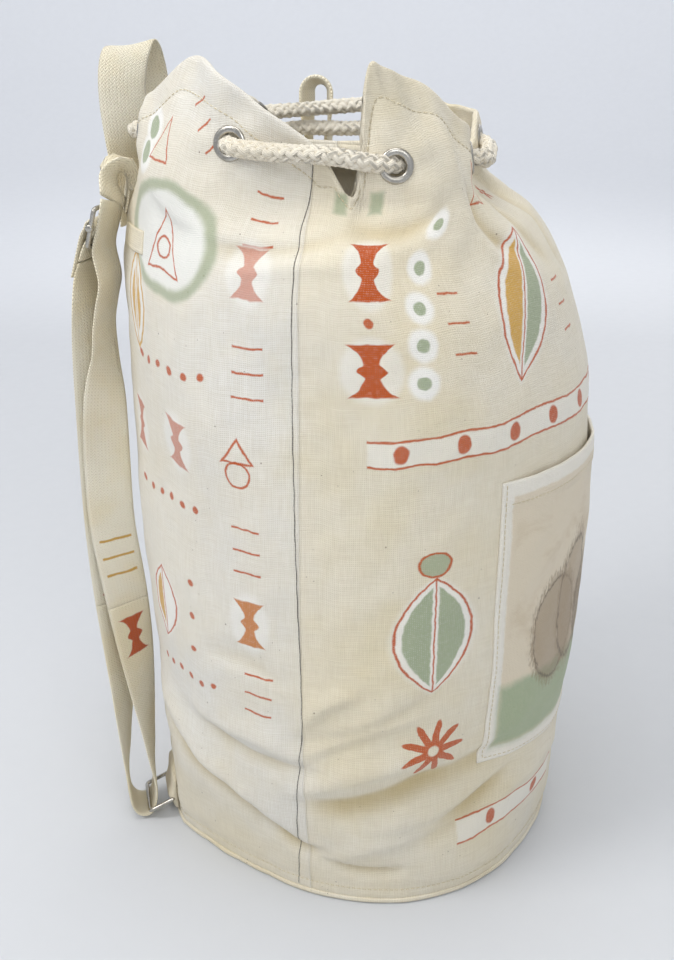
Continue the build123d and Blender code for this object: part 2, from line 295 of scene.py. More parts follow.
def lathe(profile, centre, axis, segments):
    """Closed ring swept round an axis; profile is (radius, height) points, closed."""
    axis = unit(np.asarray(axis, float))
    side = unit(np.cross(axis, (0.31, 0.2, 0.93)))
    other = np.cross(axis, side)
    a = np.linspace(0, 2 * pi, segments, endpoint=False)
    radial = around(a, side, other)
    profile = np.asarray(profile, float)
    verts = centre + radial[:, None] * profile[None, :, :1] + axis * profile[None, :, 1:]
    faces = grid_faces(segments, len(profile), wrap_rows=True, wrap_columns=True)
    return verts.reshape(-1, 3), [list(f) for f in faces]


# ================================================================ drawstring
# The same route as the CAD drawstring.
ROPE_ROUTE = [
    (129, -43, 455), (120, -35, 471), (109, -20, 488), (101, -2, 502), (97, 20, 504),
    (92, 44, 502), (86, 66, 500), (80, 82, 499), (75, 95, 498), (60, 96, 497), (44, 106, 495),
    (27, 117, 496), (12, 126, 499), (5, 139, 500), (-14, 140, 495), (-34, 138, 497),
    (-53, 136, 501), (-57, 119, 502), (-70, 98, 499), (-89, 74, 500), (-109, 54, 503),
    (-125, 46, 502), (-123, 22, 500), (-117, -8, 499), (-110, -34, 494), (-93, -46, 492),
    (-80, -52, 489), (-63, -61, 488), (-47, -67, 489), (-38, -83, 490), (-16, -82, 485),
    (8, -79, 484), (28, -77, 489), (34, -60, 491), (46, -49, 491), (60, -35, 492),
    (76, -22, 495), (92, -13, 494), (94, 8, 489), (94, 30, 487), (92, 52, 487), (90, 72, 487),
    (92, 90, 483), (95, 101, 470), (99, 110, 458), (102, 114, 449),
]
ROPE_RADIUS = 4.5 * MM


def route_line(route):
    """The rope's centreline, read from its NURBS spline."""
    curve = bpy.data.curves.new("drawstring_route", "CURVE")
    curve.dimensions = "3D"
    curve.resolution_u = 24
    spline = curve.splines.new("NURBS")
    spline.points.add(len(route) - 1)
    for point, place in zip(spline.points, route):
        point.co = (place[0] * MM, place[1] * MM, place[2] * MM, 1)
    spline.order_u = 3
    spline.use_endpoint_u = True
    holder = in_scene("drawstring_route", curve)
    bpy.context.view_layer.update()
    graph = bpy.context.evaluated_depsgraph_get()
    mesh = bpy.data.meshes.new_from_object(holder.evaluated_get(graph))
    line = np.array([v.co[:] for v in mesh.vertices])
    bpy.data.objects.remove(holder)
    bpy.data.meshes.remove(mesh)
    return line


rope_centre = route_line(ROPE_ROUTE)
ROPE_LENGTH = line_length(rope_centre)
rope_even = resample(rope_centre, int(ROPE_LENGTH / 0.0011))


def braid(line, radius, strands=8, lay=0.026):
    """Solid braid: half the strands wind each way and pass over and under each other."""
    heap = Heap()
    ahead = unit(np.gradient(line, axis=0))
    normals = carried_frame(ahead)
    across = np.cross(ahead, normals)
    run = run_along(line)
    half = strands // 2
    fat = radius * 0.47
    middle = radius - fat * 0.78
    for k in range(strands):
        way = 1 if k % 2 else -1
        turn = way * run / lay * 2 * pi + 2 * pi * (k // 2) / half + (0.4 if way > 0 else 0)
        weave = np.sin(half * run / lay * 2 * pi + (0 if way > 0 else pi))
        lift = middle + fat * 0.34 * weave
        place = line + around(turn, across, normals) * lift[:, None]
        heap.tube(place, fat, sides=8, squash=0.86, up=across[0])
    core = Heap()
    core.tube(line, radius * 0.62, sides=10)
    heap.add(core.verts[0], core.faces)
    return heap.object("drawstring_braid")


rope = braid(rope_even, ROPE_RADIUS)


def stopper_knot(name, end, inward, seed):
    """Overhand stopper: three fat turns of rope and the frayed tail."""
    heap = Heap()
    ahead = unit(np.asarray(inward, float))
    side = unit(np.cross(ahead, (0.2, 0.1, 1)))
    other = np.cross(ahead, side)
    a = np.linspace(0, 2 * pi, 40)
    for tilt, shift, size in ((0.5, -2.2, 4.6), (-0.55, 0.4, 5.0), (0.2, 2.6, 4.2)):
        ring = around(a, side, other * cos(tilt) + ahead * sin(tilt))
        heap.tube(end + ahead * shift * MM + ring * size * MM * 0.8, 3.3 * MM, sides=10, caps=False)
    rng = np.random.default_rng(seed)
    for _ in range(26):
        lean = rng.normal(0, 0.45, 2)
        start = end - ahead * 4 * MM + (side * rng.normal(0, 1.4) + other * rng.normal(0, 1.4)) * MM
        reach = -ahead + side * lean[0] + other * lean[1]
        tuft = start + np.linspace(0, 1, 5)[:, None] * unit(reach) * 8 * MM
        heap.tube(tuft, 0.45 * MM, sides=5, taper=[1, 1, 0.9, 0.7, 0.4])
    return heap.object(name)


knots = [
    stopper_knot("drawstring_stopper_1", rope_centre[0], rope_centre[6] - rope_centre[0], 3),
    stopper_knot("drawstring_stopper_2", rope_centre[-1], rope_centre[-7] - rope_centre[-1], 4),
]

# ================================================================ body surface
BASE_RADIUS = 142.0
# Thickness of the cloth and of the turned hem, and the hem's depth.
CANVAS, HEM, HEM_DEPTH = 2.4, 3.8, 20.0
# Body outline at each height: (height, near, front, far, back) radii.
LEVELS = [
    (3, 141, 141, 141, 141), (10, 142, 142.3, 142.3, 142), (40, 143.5, 144.5, 144.5, 143),
    (90, 148, 149, 149, 147.5), (160, 152.5, 153, 153, 152), (240, 155, 155, 155, 154.5),
    (330, 155, 154, 155, 155), (400, 153, 137, 150, 155.5), (448, 141, 111, 130, 153.5),
]
# Bearing of each eyelet and its centre.
EYELET_PLACES = {
    -157.5: (68, 96), -112.5: (8, 133), -67.5: (-55, 128), -22.5: (-117, 49),
    22.5: (-101, -43), 67.5: (-42, -74), 112.5: (32, -68), 157.5: (84, -17),
}
# Bearing of each fold between the eyelets, and its place at the neck and at the rim.
FOLDS = {
    -180: ((80, 39), (76, 39)), -135: ((46, 127), (36, 100)), -90: ((-23, 133), (-23, 121)),
    -45: ((-101, 106), (-84, 80)), 0: ((-112, 3), (-102, 1)), 45: ((-88, -79), (-82, -42)),
    90: ((-4, -70), (-4, -58)), 135: ((74, -56), (60, -40)),
}
# Bearing and top of the one ear that leans away from its eyelet.
EAR_TOPS = {22.5: (-101, -30)}
# Middle of the mouth, and the heights where the gathering starts, of the neck and of the ears' tips.
MOUTH = np.array([-12.0, 27.0])
SHOULDER, NECK, TOP = 448.0, 474.0, 546.0


def level_ring(level):
    _, near, front, far, back = level
    ring = []
    for step in range(16):
        a = radians(22.5 * step - 180)
        ring.append((-(near if cos(a) > 0 else far) * cos(a), -(front if sin(a) > 0 else back) * sin(a)))
    return ring


def mouth_ring(at_top):
    ring = []
    for step in range(8):
        fold = np.array(FOLDS[45 * step - 180][1 if at_top else 0], float)
        eyelet = np.array(EYELET_PLACES[45 * step - 157.5], float)
        out = unit(eyelet - MOUTH)
        top = np.array(EAR_TOPS.get(45 * step - 157.5, eyelet - out * 6), float)
        ring += [fold, top if at_top else eyelet + out * 4]
    return ring


RING_HEIGHTS = np.array([level[0] for level in LEVELS] + [NECK, TOP])
RINGS = np.array([level_ring(level) for level in LEVELS] + [mouth_ring(False), mouth_ring(True)])


def plain_wall(bearings, z):
    """Smooth wall through the rings, in mm, for heights z (rows, columns) over the bearings (columns)."""
    points = periodic(RINGS.transpose(1, 0, 2), (bearings + 180) / 22.5).transpose(1, 0, 2)
    slopes = hermite_slopes(RING_HEIGHTS, points)
    k, width, t = span(RING_HEIGHTS, z)
    t, width = t[..., None], width[..., None]
    column = np.broadcast_to(np.arange(z.shape[1]), z.shape)
    low, high = (k, column), (k + 1, column)
    flat = hermite(t, points[low], width * slopes[low], points[high], width * slopes[high])
    return np.concatenate([flat, z[..., None]], -1)


# Height of the rim over each bearing: two tall ears at the near side, low ones at the back.
RIM_KNOTS = [
    (-180, 477), (-172, 478), (-165, 487), (-157.5, 508), (-150, 513), (-142, 518), (-135, 521),
    (-127, 521), (-120, 518), (-112.5, 513), (-105, 504), (-97, 493), (-90, 488), (-82, 495),
    (-75, 506), (-67.5, 516), (-60, 524), (-52, 535), (-45, 546), (-37, 544), (-30, 540),
    (-22.5, 534), (-15, 523), (-7, 511), (0, 501), (4, 492), (7, 482), (9.8, 473), (11.8, 472),
    (13.5, 496), (16, 532), (20, 545), (24, 546), (30, 543), (37, 540), (45, 536), (52, 526), (60, 512),
    (67.5, 503), (75, 493), (82, 486), (90, 483), (97, 488), (105, 496), (112.5, 503), (120, 506),
    (127, 507), (135, 507), (142, 508), (150, 510), (157.5, 509), (165, 487), (172, 478), (180, 477),
]
ALL_BEARINGS = np.arange(-180, 180, 0.5)


def soft_rim():
    """The rim's height over ALL_BEARINGS, rounded off between the knots."""
    sharp = monotone(*np.array(RIM_KNOTS, float).T, ALL_BEARINGS)
    window = np.exp(-(np.arange(-6, 7) * 0.5 / 1.2) ** 2)
    joined = np.concatenate([sharp[-20:], sharp, sharp[:20]])
    return np.convolve(joined, window / window.sum(), "same")[20:-20]


RIM = soft_rim()


def rim_at(bearing):
    return np.interp(bearing, ALL_BEARINGS, RIM, period=360)


def hem_line(bearing):
    """Height of the hem's stitching, which runs flatter than the rim in the valleys."""
    rim = rim_at(bearing)
    return np.maximum(rim - HEM_DEPTH + 3, np.minimum(rim - 5, 480))


def base_scale(bearing):
    """The base outline is not quite round: it is flattened beside the strap's tab."""
    places = [-180, -120, -80, -52, -41, -27, -15, -5, 9, 26, 43, 56, 67, 78, 89, 99, 130, 180]
    radii = [142, 142, 143, 143, 135, 131, 131, 134.5, 138.5, 144, 145, 143.5, 141.5, 141, 142.5, 144, 142,
             142]
    return np.interp(bearing, places, radii, period=360) / BASE_RADIUS


def seam_wander(z):
    """Bearing of the near side seam at a height."""
    return np.interp(z, [5, 86, 152, 240, 367, 460, 480], [-4.0, -2.2, 0.2, -0.5, -1.6, -1.2, 0])


# Creases: (bearing, height) ends, half width in mm, depth in mm (negative is a ridge).
CREASES = [
    ((-54, 122), (-30, 86), 9, -2.8), ((-31, 88), (-8, 60), 8, -1.9),
    ((-50, 104), (-28, 74), 8, 3.4), ((-28, 75), (-7, 50), 7, 2.1),
    ((-32, 124), (-1, 112), 6, 1.9), ((-30, 130), (-2, 122), 8, -1.7),
    ((1, 150), (11, 173), 6, -1.8), ((2, 128), (28, 156), 7, -2.0), ((2, 136), (30, 168), 8, 2.0),
    ((2, 84), (30, 104), 10, 2.8), ((28, 103), (54, 116), 10, 2.2), ((2, 98), (32, 122), 8, -2.2),
    ((-9, 50), (3, 42), 5, 2.2), ((6, 33), (25, 30), 4, 2.0), ((8, 40), (44, 66), 9, -1.8),
    ((22, 58), (52, 80), 9, 2.0),
    ((36, 62), (58, 92), 8, 1.5), ((60, 70), (84, 82), 9, -1.4), ((-6, 178), (-24, 186), 8, 1.2),
    ((-20, 448), (8, 456), 7, 2.4), ((-14, 436), (10, 442), 8, -1.6), ((12, 462), (34, 466), 6, 2.0),
    ((52, 474), (66, 440), 6, 2.6), ((46, 468), (58, 436), 7, -1.8), ((74, 470), (82, 428), 8, 2.0),
    ((-44, 466), (-30, 452), 7, 1.6), ((100, 466), (96, 420), 9, 2.0), ((120, 462), (128, 430), 9, 1.8),
    ((-70, 470), (-66, 438), 8, 1.6), ((-110, 474), (-114, 436), 9, 2.4), ((-150, 470), (-146, 430), 9, 2.2),
    ((150, 468), (146, 428), 9, 2.2), ((172, 466), (166, 430), 8, 1.6), ((-96, 110), (-60, 76), 10, 2.4),
    ((-130, 84), (-104, 118), 10, 2.2), ((-168, 96), (-140, 70), 9, 2.0), ((140, 120), (172, 92), 10, 2.2),
    ((112, 76), (142, 60), 9, 1.8), ((-120, 60), (-90, 44), 9, 1.8), ((160, 58), (176, 80), 8, -1.4),
    ((-150, 380), (-126, 350), 12, 1.2), ((120, 400), (140, 372), 12, 1.2),
    ((-100, 396), (-84, 410), 12, 1.2),
]
WAVES = [Ripple(11, 150), Ripple(12, 70), Ripple(13, 30), Ripple(14, 45)]


def crease_depth(bearings, z):
    """How far the creases push the wall in, in millimetres."""
    depth = np.zeros(np.broadcast(bearings, z).shape)
    steep_side, gentle_side, bow = 0.62, 1.5, 3.0
    for (b0, z0), (b1, z1), half_width, deep in CREASES:
        way = 1 if deep > 0 else -1
        dx, dy = (b1 - b0) * MM_PER_DEGREE, z1 - z0
        length = (dx * dx + dy * dy) ** 0.5
        x, y = (bearings - b0) * MM_PER_DEGREE, z - z0
        along = (x * dx + y * dy) / length
        across = (y * dx - x * dy) / length + bow * np.sin(along / length * pi) * way
        ends = smooth(along, -0.35 * length, 0.3 * length)
        ends = ends * (1 - smooth(along, 0.7 * length, 1.35 * length))
        reach = half_width * np.where(across * way > 0, steep_side, gentle_side)
        depth += deep * ends * groove(across, reach)
    return depth


class Eyelet:
    """Place and facing of one eyelet, read from its CAD node."""

    def __init__(self, number):
        mesh = bpy.data.objects[f"eyelet_{number}"].data
        points = np.array([v.co[:] for v in mesh.vertices])
        centre = (points.max(0) + points.min(0)) / 2
        _, _, axes = np.linalg.svd(points - points.mean(0))
        normal = axes[2]
        if normal[:2] @ (centre[:2] - MOUTH * MM) < 0:
            normal = -normal
        reach = (points - centre) @ normal
        self.normal = normal
        self.skin = centre + normal * (reach.max() - 1.3 * MM)


EYELETS = [Eyelet(number) for number in range(1, 9)]


def grid_normals(points):
    return unit(np.cross(np.gradient(points, axis=0), np.gradient(points, axis=1)))


def groove(distance, half_width):
    """1 on a line and 0 away from it."""
    return np.exp(-(distance / half_width) ** 2)


def wall(bearings, z):
    """Outer face of the cloth in metres, for (rows, columns) heights, folds and creases included."""
    points = plain_wall(bearings, z)
    b = np.broadcast_to(bearings, z.shape)
    near_base = 1 - smooth(z, 5, 95)
    points[..., :2] *= (1 + (base_scale(bearings) - 1)[None] * near_base)[..., None]
    out = points[..., :2] - MOUTH * smooth(z, 400, 480)[..., None]
    outward = np.concatenate([unit(out), np.zeros(z.shape + (1,))], -1)
    normal = grid_normals(points)
    normal = np.where((normal * outward).sum(-1, keepdims=True) < 0, -normal, normal)
    x = b * MM_PER_DEGREE
    # Shift outward in mm: creases, waves that are calmer at the base and the neck, ripples of the ears.
    shift = -1.9 * crease_depth(b, z)
    calm = smooth(z, 4, 26) * (1 - smooth(z, 455, 500) * 0.55)
    shift += calm * (1.5 * WAVES[0](x, z) + 0.7 * WAVES[1](x, z * 0.6) + 0.28 * WAVES[2](x, z))
    shift += smooth(z, 470, 505) * 0.9 * WAVES[3](x * 1.2, z * 0.7)
    # The side seams and the seam above the base pull the cloth in.
    for from_seam in (b - seam_wander(z), np.abs(b) - 180):
        shift -= 0.5 * groove(from_seam * MM_PER_DEGREE, 1.8) * smooth(z, 8, 20)
    shift -= 0.8 * groove(z - 13, 2.2)
    shift = np.clip(shift, -9.5, 5.0)
    # The rim rolls outward, most of all beside the seams, and the hem's stitches pull in.
    near_seam = groove(np.minimum(np.abs(b), 180 - np.abs(b)), 14.0)
    shift += groove(rim_at(bearings)[None] - z, 9.0) * (1.2 + 5.0 * near_seam)
    shift -= 0.7 * groove(hem_line(b) - z, 1.6)
    points = (points + normal * shift[..., None]) * MM
    # Flat under each eyelet, with small pleats that run out from it.
    for eyelet in EYELETS:
        away = points - eyelet.skin
        distance = np.linalg.norm(away, axis=-1)
        height = away @ eyelet.normal
        flat = (1 - smooth(distance, 0.011, 0.030)) * (np.abs(height) < 0.03)
        turn = np.arctan2(away @ unit(np.cross(eyelet.normal, (0, 0, 1))), away[..., 2])
        pleat = 0.0007 * np.sin(turn * 5) * smooth(distance, 0.010, 0.016)
        pleat = pleat * (1 - smooth(distance, 0.02, 0.04))
        points = points + eyelet.normal * (pleat - flat * height)[..., None]
    return points


def heights(bearings):
    """Rows of heights: even up to the shoulder, then shared out up to the rim."""
    lower = np.linspace(3.0, SHOULDER, LOW_ROWS)[:, None] * np.ones(len(bearings))[None]
    t = np.linspace(0, 1, HIGH_ROWS + 1)[1:, None]
    return np.concatenate([lower, SHOULDER + (rim_at(bearings) - SHOULDER)[None] * t])


LOW_ROWS, HIGH_ROWS = 176, 48
FULL_STEP = 0.8
FULL = np.arange(-180, 180, FULL_STEP)


def body_grid():
    """The whole wall once, so both panels share their edges exactly."""
    wide = np.concatenate([FULL[-6:] - 360, FULL, FULL[:7] + 360])
    z = heights(wide)
    real = np.where(wide < -180, wide + 360, np.where(wide >= 180, wide - 360, wide))
    points = wall(real, z)
    normal = grid_normals(points)
    middle = np.concatenate([np.broadcast_to(MOUTH * MM, points.shape[:2] + (2,)), points[..., 2:]], -1)
    flip = (normal * (points - middle)).sum(-1, keepdims=True)
    normal = np.where(flip.mean() < 0, -normal, normal)
    run = np.concatenate([np.zeros((1, points.shape[1])),
                          np.cumsum(np.linalg.norm(np.diff(points, axis=0), axis=-1), axis=0)])
    return [rows[:, 6:-6] for rows in (z, points, normal, run)]


GRID_Z, GRID_P, GRID_N, GRID_V = body_grid()


def surface(bearings, heights_up):
    """Points on the outer face at bearings and heights, in metres, and their normals."""
    both = np.concatenate([GRID_P, GRID_N], -1)
    rows = []
    for b, z in zip(bearings, heights_up):
        at = ((b + 180) % 360) / FULL_STEP
        c = int(at)
        sides = []
        for column in (c, min(c + 1, GRID_P.shape[1] - 1)):
            zs = GRID_Z[:, column]
            r = int(np.clip(np.searchsorted(zs, z) - 1, 0, len(zs) - 2))
            g = (z - zs[r]) / (zs[r + 1] - zs[r])
            sides.append(both[r, column] * (1 - g) + both[r + 1, column] * g)
        rows.append(sides[0] * (1 - at + c) + sides[1] * (at - c))
    rows = np.array(rows)
    return rows[:, :3], unit(rows[:, 3:])


def v_at(bearing, z):
    """Length up the cloth from the base, in metres, at a bearing and height."""
    col = int(round(((bearing + 180) % 360) / FULL_STEP)) % len(FULL)
    return float(np.interp(z, GRID_Z[:, col], GRID_V[:, col]))


HOLE_RADIUS, HOLE_DEPTH = 0.0068, 0.011


def panel(name, first, last):
    """One half of the bag: outer face, rolled rim, hem and inner face in one closed sheet."""
    columns = np.arange(round((first + 180) / FULL_STEP), round((last + 180) / FULL_STEP) + 1)
    bearings = -180 + columns * FULL_STEP
    pick = np.minimum(columns, GRID_P.shape[1] - 1)
    outer, normal, run, z = GRID_P[:, pick], GRID_N[:, pick], GRID_V[:, pick], GRID_Z[:, pick]
    up = unit(outer[-1] - outer[-4])
    rows, v_rows = [outer], [run]
    for angle in (35, 90, 145):
        a = radians(angle)
        roll = outer[-1] - normal[-1] * HEM * MM / 2 * (1 - cos(a)) + up * HEM * MM / 2 * sin(a)
        rows.append(roll[None])
        v_rows.append(run[-1:] + 0.002 * angle / 90)
    top = len(outer) - 1
    depth = run[top][None] - run
    inner_rows = [k for k in range(top, -1, -1) if k > LOW_ROWS or k % 3 == 0]
    for k in inner_rows:
        thick = np.where(depth[k] < HEM_DEPTH * MM, HEM, CANVAS) * MM
        rows.append((outer[k] - normal[k] * thick[:, None])[None])
        v_rows.append((2 * run[top] - run[k] + 0.006)[None])
    points = np.concatenate(rows)
    v = np.concatenate(v_rows)
    u = np.broadcast_to(bearings * U_PER_DEGREE, v.shape)
    uvs = np.stack([u, v], -1).reshape(-1, 2)
    faces = grid_faces(len(points), len(bearings), wrap_rows=True)[:, ::-1]
    verts = points.reshape(-1, 3)
    wide = len(bearings)
    inside = [top + 4 + k for k in range(len(inner_rows))]
    sides = [list(range(top, top + 5))]
    for a, b, row_a, row_b in zip(inside, inside[1:], inner_rows, inner_rows[1:]):
        sides.append(list(range(row_b, row_a + 1)) + [a, b])
    caps = [[row * wide for row in side] for side in sides]
    caps += [[row * wide + wide - 1 for row in side[::-1]] for side in sides]
    centres = verts[faces].mean(1)
    keep = np.ones(len(faces), bool)
    for eyelet in EYELETS:
        away = centres - eyelet.skin
        height = away @ eyelet.normal
        radial = np.linalg.norm(away - height[:, None] * eyelet.normal, axis=1)
        keep &= ~((radial < HOLE_RADIUS) & (np.abs(height) < HOLE_DEPTH))
    obj = new_object(name, verts, faces[keep].tolist() + caps, uvs)
    # Crease depths on the outer face, which the cloth material uses to paint shade into the crease valleys.
    crease_shade = np.zeros(v.shape)
    crease_shade[:len(outer)] = crease_depth(np.broadcast_to(bearings, z.shape), z)
    obj.data.attributes.new("fold", "FLOAT", "POINT").data.foreach_set("value", crease_shade.ravel())
    return obj


front = panel("canvas_front", 0, 180)
back = panel("canvas_back", -180, 0)


# ================================================================ eyelets
def make_eyelet(number, eyelet):
    """Rolled flange with a soft crown, its barrel, and the flat washer inside."""
    a = np.linspace(0, pi, 12)
    crown = [(7.9 + 2.1 * cos(t), 0.15 + 1.35 * sin(t)) for t in a]
    barrel = [(5.75, 0.1), (5.55, -1.2), (5.6, -3.6), (6.0, -4.6), (7.0, -5.1), (6.9, -4.5), (6.4, -3.6),
              (6.35, -1.0), (6.5, -0.05), (9.6, -0.05)]
    profile = np.array(crown + barrel) * MM
    heap = Heap()
    heap.add(*lathe(profile, eyelet.skin, eyelet.normal, 56))
    washer = [(6.6, -4.2), (9.4, -4.2), (9.6, -4.5), (9.4, -4.8), (6.6, -4.9)]
    heap.add(*lathe(np.array(washer) * MM, eyelet.skin, eyelet.normal, 48))
    return heap.object(f"grommet_{number}")


grommets = [make_eyelet(number + 1, eyelet) for number, eyelet in enumerate(EYELETS)]


# ================================================================ base
def rolled_edge():
    """Round binding along the base seam."""
    bearings = np.arange(-180, 180, 1.0)
    a = np.linspace(0, 2 * pi, 14, endpoint=False)[::-1]
    reach, height = -1.7 + 2.2 * np.cos(a), np.broadcast_to(2.45 + 2.2 * np.sin(a), (len(bearings), 14))
    ripple = Ripple(21, 40)(bearings * 2.5, 0)[:, None] * 0.25
    radius = base_scale(bearings)[:, None] * BASE_RADIUS + reach + ripple
    angle = np.radians(bearings)[:, None]
    points = np.stack([-radius * np.cos(angle), -radius * np.sin(angle), height], -1) * MM
    uvs = np.stack([np.broadcast_to(bearings[:, None] * U_PER_DEGREE, height.shape), height * MM], -1)
    faces = grid_faces(*height.shape, wrap_rows=True, wrap_columns=True)
    return new_object("base_rolled_edge", points.reshape(-1, 3), faces.tolist(), uvs.reshape(-1, 2))


binding = rolled_edge()


def base_sheet():
    """Round sheet inside the base seam, with a top and an under side."""
    bearings = np.arange(-180, 180, 3.0)
    radii = base_scale(bearings) * BASE_RADIUS - 3
    rings = [0.003, 0.25, 0.5, 0.75, 0.92, 1.0]
    angle = np.radians(bearings)
    ripple = Ripple(22, 60)
    layers = []
    for height, sway, reach in ((0.9, 0, rings[::-1]), (2.9, 0.3, rings)):
        for ring in reach:
            x, y = -radii * ring * np.cos(angle), -radii * ring * np.sin(angle)
            layers.append(np.stack([x, y, height + sway * ripple(x, y)], -1))
    faces = grid_faces(len(layers), len(bearings), wrap_rows=True, wrap_columns=True)
    verts = np.array(layers).reshape(-1, 3) * MM
    return new_object("base_canvas", verts, faces.tolist(), verts[:, :2])


base = base_sheet()


# ================================================================ front pocket
# First and last bearing, bottom and top height, and the pocket's width and height on the cloth.
POCKET = (47.0, 133.0, 102.0, 309.0)
POCKET_WIDE, POCKET_HIGH, TOP_HEM = 230, 207, 190


def pocket_lift(s, t):
    """How far the pocket stands off the bag, in mm: sewn flat at three edges, loose at the top."""
    side = np.minimum(s, 1 - s)
    rise = smooth(side, 0.012, 0.14) * smooth(t, 0.012, 0.16)
    open_top = 1 + 0.25 * smooth(t, 0.7, 1.0)
    return 1.1 + 1.9 * rise * open_top + 0.35 * np.sin(9 * s + 3 * t) * rise


def pocket_sheet():
    b0, b1, z0, z1 = POCKET
    columns, rows = 150, 110
    s, t = np.meshgrid(np.linspace(0, 1, columns), np.linspace(0, 1, rows))
    bearing = b0 + (b1 - b0) * s + 0.25 * Ripple(31, 90)(t * 200, 0) * (s < 0.02)
    height = z0 + (z1 - z0) * t + 1.2 * np.sin(s * 2.6) * (1 - t) - 1.0 * np.sin(s * pi) * t
    place, normal = [part.reshape(rows, columns, 3) for part in surface(bearing.ravel(), height.ravel())]
    up = t * POCKET_HIGH
    from_edge = np.minimum(np.minimum(s, 1 - s) * POCKET_WIDE, up)
    fold = np.maximum(1 - smooth(from_edge, 6.0, 7.5), smooth(up, TOP_HEM - 1, TOP_HEM))
    sewn, edge = groove(from_edge - 3.2, 1.1), groove(from_edge, 1.2)
    top_line = groove(up - TOP_HEM - 1.5, 1.1)
    lift = pocket_lift(s, t)
    outer = place + normal * ((lift + 0.7 * fold - 0.55 * sewn - 0.5 * top_line - 0.8 * edge) * MM)[..., None]
    inner = place + normal * ((lift - 1.1) * MM)[..., None]
    sides = [[v_at(b, z) for z in np.linspace(z0, z1, rows)] for b in (b0, b1)]
    v = np.array(sides[0])[:, None] * (1 - s) + np.array(sides[1])[:, None] * s
    return two_faced("pocket_canvas", outer, inner, np.stack([bearing * U_PER_DEGREE, v], -1).reshape(-1, 2))


pocket = pocket_sheet()

# ================================================================ webbing
STRAP = -63.0
WEB_WIDTH, WEB_THICK = 31.0, 2.0


def frame_at(bearing):
    """Directions out of the bag and along it at a bearing."""
    a = radians(bearing)
    return np.array([-cos(a), -sin(a), 0.0]), np.array([sin(a), -cos(a), 0.0])


STRAP_OUT, STRAP_SIDE = frame_at(STRAP)
turn = radians(30.0)
SLIDE_WIDTH = STRAP_SIDE * cos(turn) + STRAP_OUT * sin(turn)
down = STRAP_OUT * 0.30 - np.array([0, 0, 0.95])
SLIDE_DOWN = unit(down - SLIDE_WIDTH * (down @ SLIDE_WIDTH))
SLIDE_IN = np.cross(SLIDE_WIDTH, SLIDE_DOWN)
SLIDE_CENTRE = STRAP_OUT * 169 - STRAP_SIDE * 3 + np.array([0, 0, 446.0])


def on_slide(across, up, inward):
    """Point in mm from distances along the slide's own directions."""
    return SLIDE_CENTRE - SLIDE_WIDTH * across - SLIDE_DOWN * up + SLIDE_IN * inward


def station(point, twist=30.0):
    """A point as the strap's rows give it: outward, sideways, height and twist."""
    return (point @ STRAP_OUT, point @ STRAP_SIDE, point[2], twist)


# Centre of the strap as (outward, sideways, height, twist), from its sewn top end to the slide's bar.
slide_top, slide_middle, slide_bottom = [station(on_slide(0, up, 5.2)) for up in (15, 0, -15)]
back_join = [station(on_slide(0, up, inward)) for up, inward in ((-31, -3.4), (-25.6, -2.9))]
TOP_RUN = [(152.9, -22, 450, 0), (150.6, -22, 460, 0), (149.6, -21, 468, 2), (151.2, -18, 474, 8),
           (155.5, -12, 475.5, 18), (159, -7, 471, 26), slide_top]
FRONT_RUN = [slide_middle, slide_bottom, station(on_slide(0, -34, 13.2)), station(on_slide(0, -50, 13.8)),
             station(on_slide(0, -66, 15.0)), station(on_slide(0, -86, 19.5), 36), (175, 3, 325, 66),
             (176.5, 4, 280, 84), (176, 5, 240, 82), (172, 6, 203, 75), (169.5, 6, 180, 68)]
LOWER_BEND = [(166.5, 6, 150, 55), (163.5, 5, 115, 38), (161, 3, 80, 22), (159.5, 1, 50, 10),
              (158.8, 0, 28, 0), (159.6, 0, 14, 0), (162, 0, 6.6, 0), (166.5, 0, 3.4, 0), (172, 0, 4.6, 0),
              (176, 0, 10, 0), (178, 0, 20, 0), (178.4, 0, 35, 3), (178, 0, 50, 10), (177.5, 0, 80, 22),
              (176.5, 0, 115, 38), (176.5, 0, 150, 55), (177.5, 0, 180, 68)]
BACK_RUN = [(178.5, -1, 203, 75), (179.5, -2, 240, 82), (179.5, -3, 285, 85), (179, -5, 330, 79),
            (179.5, -7, 375, 58), (180.5, -6.5, 398, 40)] + back_join


def spread(stations, bearing):
    """Rows of centre and width direction, in mm."""
    out, side = frame_at(bearing)
    rows = []
    for r, s, z, twist in stations:
        width = side * cos(radians(twist)) + out * sin(radians(twist))
        rows.append(np.concatenate([out * r + side * s + np.array([0, 0, z]), width]))
    return np.array(rows)


def ribbon_mesh(name, line, width=WEB_WIDTH, thick=WEB_THICK, v_start=0.0):
    """Woven tape along rows of centre and width direction (mm), with soft rounded selvedges."""
    line = np.asarray(line, float)
    ahead = unit(np.gradient(line[:, :3], axis=0))
    across = unit(line[:, 3:] - ahead * (line[:, 3:] * ahead).sum(1, keepdims=True))
    normal = np.cross(across, ahead)
    steps = 12
    half = []
    for x in np.linspace(-1, 1, steps + 1):
        edge = 1 - max(0, (abs(x) - 0.90) / 0.10) ** 2 * 0.55
        half.append((x * width / 2, thick / 2 * edge))
    section = half + [(x, -lift) for x, lift in reversed(half)]
    run = run_along(line) + v_start
    points = np.array([line[:, :3] + across * x + normal * lift for x, lift in section]) * MM
    uvs = np.array([np.stack([np.full(len(run), (x + width / 2) * MM), run * MM], -1) for x, _ in section])
    count, length = points.shape[:2]
    faces = grid_faces(count, length, wrap_rows=True).tolist()
    for end in (0, length - 1):
        for k in range(steps):
            quad = [q * length + end for q in (k, k + 1, count - 2 - k, count - 1 - k)]
            faces.append(quad[::-1] if end else quad)
    obj = new_object(name, points.reshape(-1, 3), faces, uvs.reshape(-1, 2))
    normals_outward(obj)
    return obj


